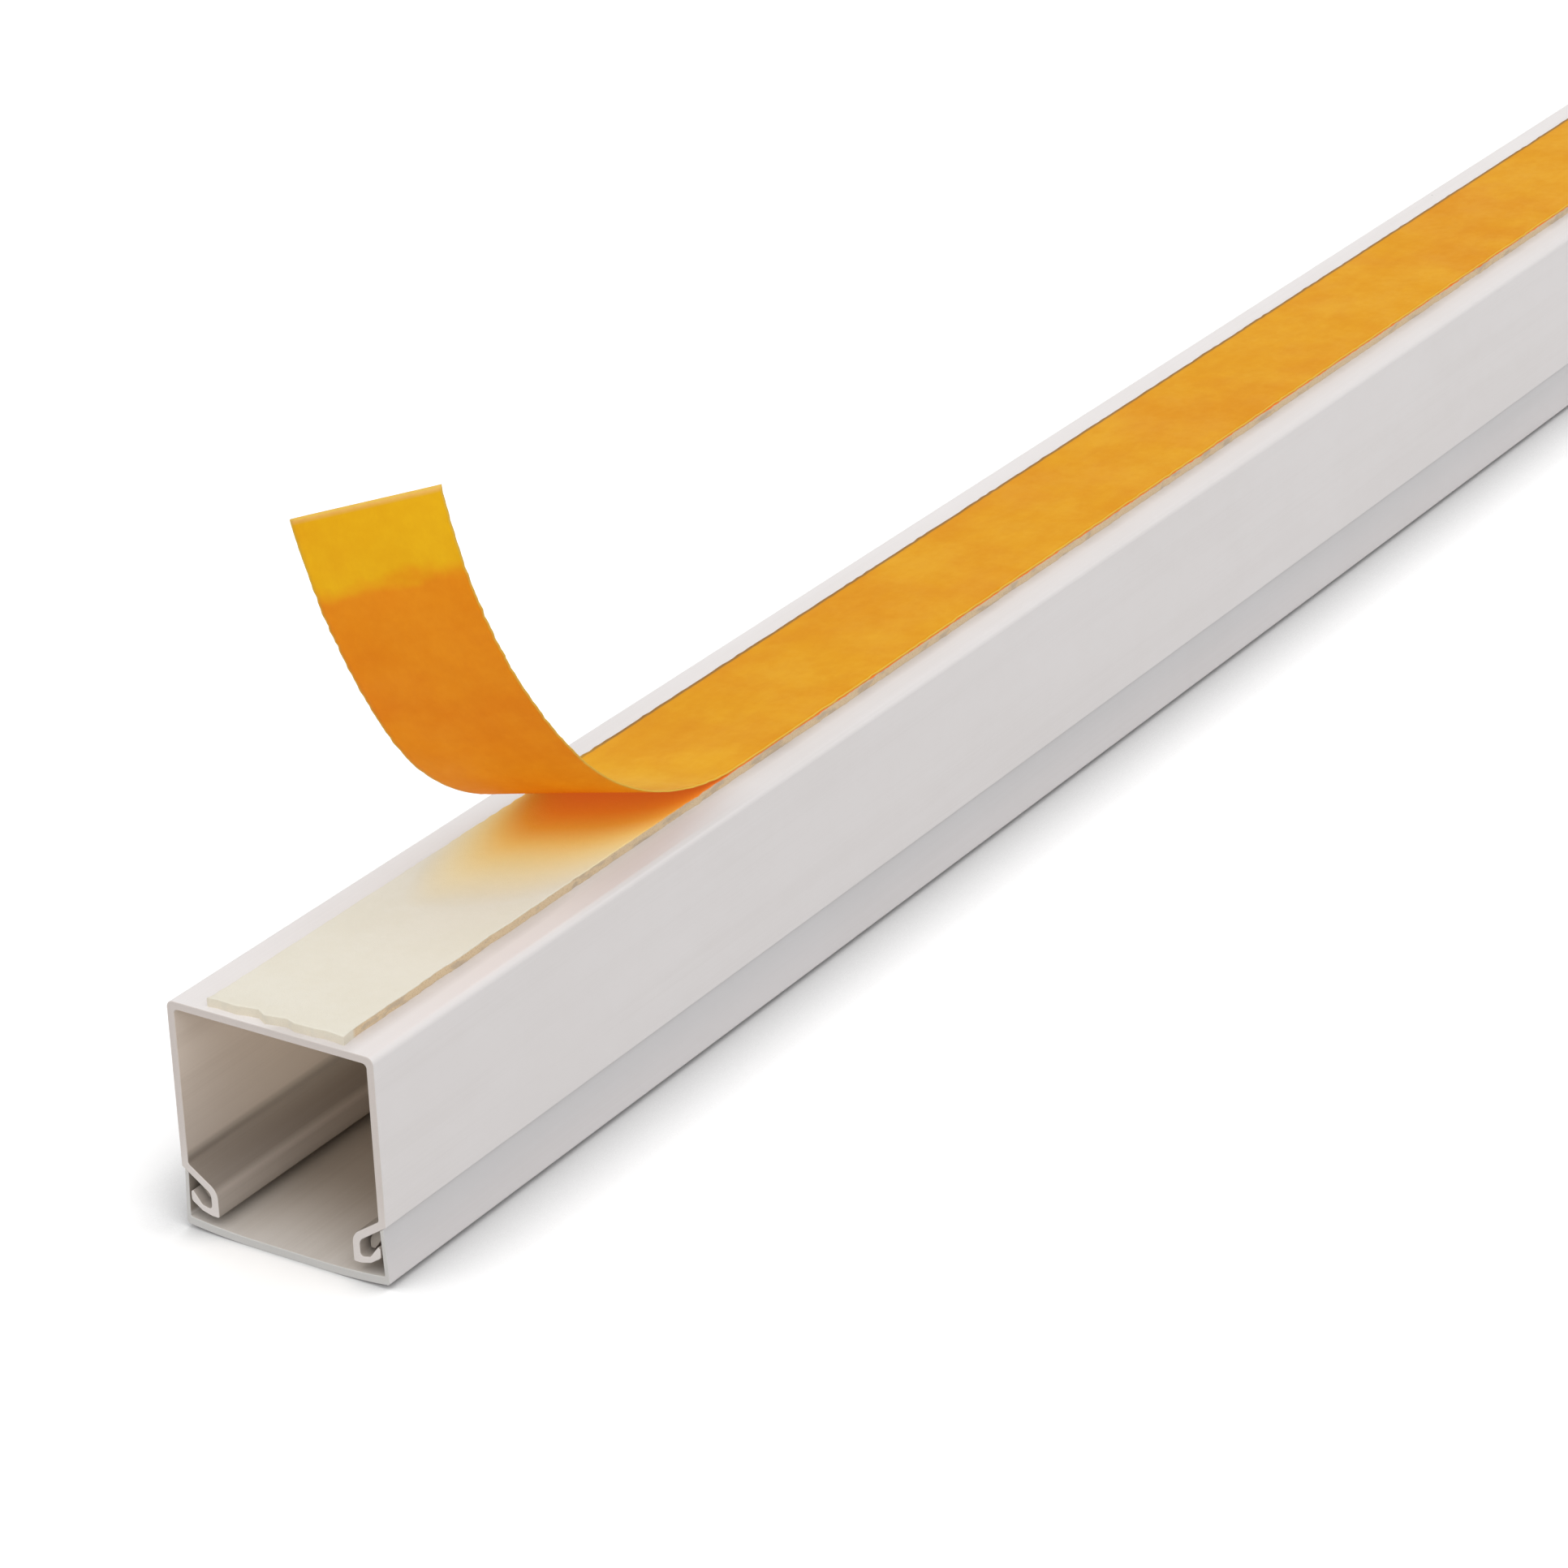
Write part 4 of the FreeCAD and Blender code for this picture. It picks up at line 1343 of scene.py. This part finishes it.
@dataclass(frozen=True)
class ReleaseLiner:
    """The liner, peeled off the near end of the tape and curled up. Sizes in millimetres."""

    far_end: float = 199.1
    near_cut: float = -200.0
    tape_top: float = 26.35
    thickness: float = 0.14
    width: float = 16.2
    right: LinerEdge = LinerEdge(-8.4, 70.4, 39.7, 46.8, 80.8, 76.3)
    left: LinerEdge = LinerEdge(7.8, 60.0, 34.2, 56.4, 97.5, 74.5)
    flat_steps: int = 330
    curl_steps: int = 64
    rise_steps: int = 80
    steps_across: int = 28
    lift_steps: int = 12
    wave: float = 0.10
    fray: float = 0.17
    bite: float = 0.35
    bite_over: float = 0.25
    right_bite: float = 0.4
    trim: float = 0.08

    def steps(self) -> int:
        """Gives the number of steps from the far end to the tip."""
        return self.flat_steps + self.curl_steps + self.rise_steps

    def edge_point(self, edge: LinerEdge, step: int) -> tuple[Vector, float]:
        """Finds where an edge is after some steps from the far end.

        Args:
            edge: The edge.
            step: The number of steps.

        Returns:
            The place in millimetres, and the length of edge up to it.
        """
        peel_at = self.near_cut + edge.peel
        flat, curl, rise = edge.lengths(self.far_end - peel_at)
        if step <= self.flat_steps:
            done = step / self.flat_steps
            return Vector((self.far_end - flat * done, edge.across, self.tape_top)), flat * done
        step -= self.flat_steps
        if step <= self.curl_steps:
            done = step / self.curl_steps
            angle, travelled = edge.curl_angle * done, flat + curl * done
        else:
            done = (step - self.curl_steps) / self.rise_steps
            angle = edge.curl_angle + (edge.tip_angle - edge.curl_angle) * done
            travelled = flat + curl + rise * done
        back, up = edge.bend_point(angle)
        return Vector((peel_at - back, edge.across, self.tape_top + up)), travelled

    def nick(self, travelled: float, share: float, lifted: float) -> Vector:
        """Works out how far the cut edges wander from straight.

        Args:
            travelled: The length of liner up to the point, in millimetres.
            share: The place across, from 0 on the right edge to 1 on the left one.
            lifted: 0 on the tape and 1 where the liner has left it.

        Returns:
            The offset in millimetres, across the liner.
        """
        rim = abs(2 * share - 1) ** 10
        side = math.copysign(1.0, share - 0.5)
        wave = wander(travelled, 0.16, side * 4.0, 7.0) * self.wave
        fray = wander(travelled, 0.9, side * 6.0, 2.0) * self.fray
        bite = max(0.0, wander(travelled, 0.75, side * 9.0, 4.0) - self.bite_over) * self.bite
        bite *= lifted * (1.0 if side > 0 else self.right_bite)
        return Vector((0.0, side * rim * (wave + fray - bite - self.trim), 0.0))

    def draw_sheet(self, mesh: bmesh.types.BMesh) -> None:
        """Draws the liner's lower face in its curled shape, with its map.

        Args:
            mesh: The empty mesh to draw in.
        """
        bmesh.ops.create_grid(mesh, x_segments=self.steps(), y_segments=self.steps_across, size=0.5)
        right_whole = self.edge_point(self.right, self.steps())[1]
        left_whole = self.edge_point(self.left, self.steps())[1]
        flat_map = {}
        for vert in mesh.verts:
            step, share = round((0.5 - vert.co.x) * self.steps()), vert.co.y + 0.5
            right, right_length = self.edge_point(self.right, step)
            left, left_length = self.edge_point(self.left, step)
            travelled = right_length * (1 - share) + left_length * share
            whole = right_whole * (1 - share) + left_whole * share
            lifted = min(1.0, max(0.0, (step - self.flat_steps) / self.lift_steps))
            vert.co = (right.lerp(left, share) + self.nick(travelled, share, lifted)) * MM
            from_tip, from_right = whole - travelled, share * self.width
            flat_map[vert.index] = (from_tip * MM * MAP_SCALE, from_right * MM * MAP_SCALE)
        layer = mesh.loops.layers.uv.new("paper")
        for face in mesh.faces:
            for loop in face.loops:
                loop[layer].uv = flat_map[loop.vert.index]

    def build(self, effects: Effects) -> None:
        """Builds and dresses the liner.

        Args:
            effects: The shared effects.
        """
        mesh = bmesh.new()
        self.draw_sheet(mesh)
        liner = finish_piece(mesh, "liner_strip", sharp_above=80.0, even_faces=False)
        shell = liner.modifiers.new("paper_thickness", "SOLIDIFY")
        shell.thickness = self.thickness * MM
        shell.offset = 1.0
        shell.use_even_offset = True
        shell.material_offset = 1
        shell.material_offset_rim = 0
        for side in PaperSide:
            finish = PaperFinish(side, PAPER_TONES[side], self.width * MM)
            liner.data.materials.append(finish.build(effects))
        hand_over(liner, "release_liner", Body.CHANNEL)


@dataclass(frozen=True)
class Lamp:
    """A soft far lamp."""

    name: str
    towards: tuple[float, float, float]
    strength: float
    spread: float

    def hang(self) -> None:
        """Adds the lamp, shining from the place that towards points at."""
        data = bpy.data.lights.new(self.name, "SUN")
        data.energy = self.strength
        data.angle = math.radians(self.spread)
        lamp = bpy.data.objects.new(self.name, data)
        lamp.rotation_euler = Vector(self.towards).to_track_quat("Z", "Y").to_euler()
        bpy.context.scene.collection.objects.link(lamp)


@dataclass(frozen=True)
class Studio:
    """The pale floor, the soft light and the camera. Metres and degrees."""

    floor_reach: float = 3.0
    floor_tone: float = 0.62
    floor_seen: float = 1.12
    floor_shaded: float = 0.66
    shade_reach: float = 17.0 * MM
    shade_width: float = 35.0 * MM
    shade_span: tuple[float, float] = (0.60, 0.07)
    far_side: tuple[float, float] = (9.0 * MM, 15.0 * MM)
    far_side_gain: float = 0.75
    sky: float = 0.62
    camera_place: tuple[float, float, float] = (-0.53145, -0.28110, 0.25071)
    heading: float = 33.672
    tilt: float = -25.036
    roll: float = -2.1725
    lens: float = 116.92

    def seen(self, wiring: Wiring) -> Socket:
        """Masks what the camera sees, directly, in a gloss or through glass.

        Args:
            wiring: The wiring of the floor or the sky.

        Returns:
            The mask.
        """
        path = wiring.node("ShaderNodeLightPath").outputs
        gloss = wiring.sum("MAXIMUM", path["Is Glossy Ray"], path["Is Transmission Ray"])
        return wiring.sum("MAXIMUM", path["Is Camera Ray"], gloss)

    def light(self) -> None:
        """Sets the sky and hangs the lamps."""
        world = bpy.data.worlds.new("studio_sky")
        world.use_nodes = True
        wiring = Wiring(world.node_tree)
        background = wiring.node("ShaderNodeBackground")
        background.inputs["Color"].default_value = (1.0, 1.0, 1.0, 1.0)
        extra = wiring.times(self.seen(wiring), 1.0 - self.sky)
        wiring.feed(background.inputs["Strength"], wiring.plus(extra, self.sky))
        wiring.feed(wiring.node("ShaderNodeOutputWorld").inputs["Surface"], background.outputs[0])
        bpy.context.scene.world = world
        Lamp("key_lamp", (-0.45, -0.25, 0.85), strength=1.55, spread=80.0).hang()
        Lamp("fill_lamp", (0.25, -0.9, 0.35), strength=0.05, spread=90.0).hang()

    def lay_floor(self) -> None:
        """Lays the floor under the trunking, with a painted contact shadow in the colour that the camera
        sees.
        """
        mesh = bmesh.new()
        bmesh.ops.create_grid(mesh, x_segments=4, y_segments=4, size=self.floor_reach)
        floor = finish_piece(mesh, "studio_floor", sharp_above=30.0, even_faces=False)
        wiring, material = new_finish("pale_floor")
        across = wiring.parts(wiring.place())[1]
        # Painted contact shadow: where the ambient occlusion finds the floor hidden near the trunking, its
        # seen colour darkens, more on the far side.
        beside = wiring.sum("LESS_THAN", wiring.sum("ABSOLUTE", across), self.shade_width)
        hidden = wiring.sum("SUBTRACT", 1.0, wiring.openness(self.shade_reach, beside))
        away = wiring.rise(across, *self.far_side)
        hidden = wiring.times(hidden, wiring.plus(wiring.times(away, self.far_side_gain), 1.0))
        tones = ((tone, tone, tone) for tone in (self.floor_shaded, self.floor_seen))
        seen = wiring.mix(wiring.rise(hidden, *self.shade_span), *tones)
        colour = wiring.mix(self.seen(wiring), (self.floor_tone,) * 3, seen)
        shader = wiring.node("ShaderNodeBsdfDiffuse")
        wiring.feed(shader.inputs["Color"], colour)
        wiring.feed(wiring.node("ShaderNodeOutputMaterial").inputs["Surface"], shader.outputs[0])
        floor.data.materials.append(material)

    def place_camera(self) -> None:
        """Places the camera where the photograph was taken from."""
        heading, tilt, roll = (math.radians(angle) for angle in (self.heading, self.tilt, self.roll))
        level_ahead = Vector((math.cos(heading), math.sin(heading), 0.0))
        ahead = level_ahead * math.cos(tilt) + Vector((0.0, 0.0, math.sin(tilt)))
        level = ahead.cross(Vector((0.0, 0.0, 1.0))).normalized()
        right = level * math.cos(roll) + level.cross(ahead) * math.sin(roll)
        above = right.cross(ahead)
        data = bpy.data.cameras.new("studio_camera")
        data.lens = self.lens
        data.sensor_width = 36.0
        data.clip_start = 0.01
        camera = bpy.data.objects.new("studio_camera", data)
        turned = Matrix((right, above, -ahead)).transposed().to_4x4()
        camera.matrix_world = Matrix.Translation(self.camera_place) @ turned
        bpy.context.scene.collection.objects.link(camera)
        bpy.context.scene.camera = camera

    def build(self) -> None:
        """Sets up the whole studio."""
        self.place_camera()
        self.light()
        self.lay_floor()
        bpy.context.scene.view_settings.view_transform = "Standard"
        log.info("studio ready")


def main() -> None:
    """Builds the cord cover in its studio."""
    Studio().build()
    effects = Effects(make_cloudiness(), make_drawn_lines(), make_specks())
    Trunking().build(effects)
    FoamTape().build(effects)
    ReleaseLiner().build(effects)


if __name__ == "__main__":
    main()
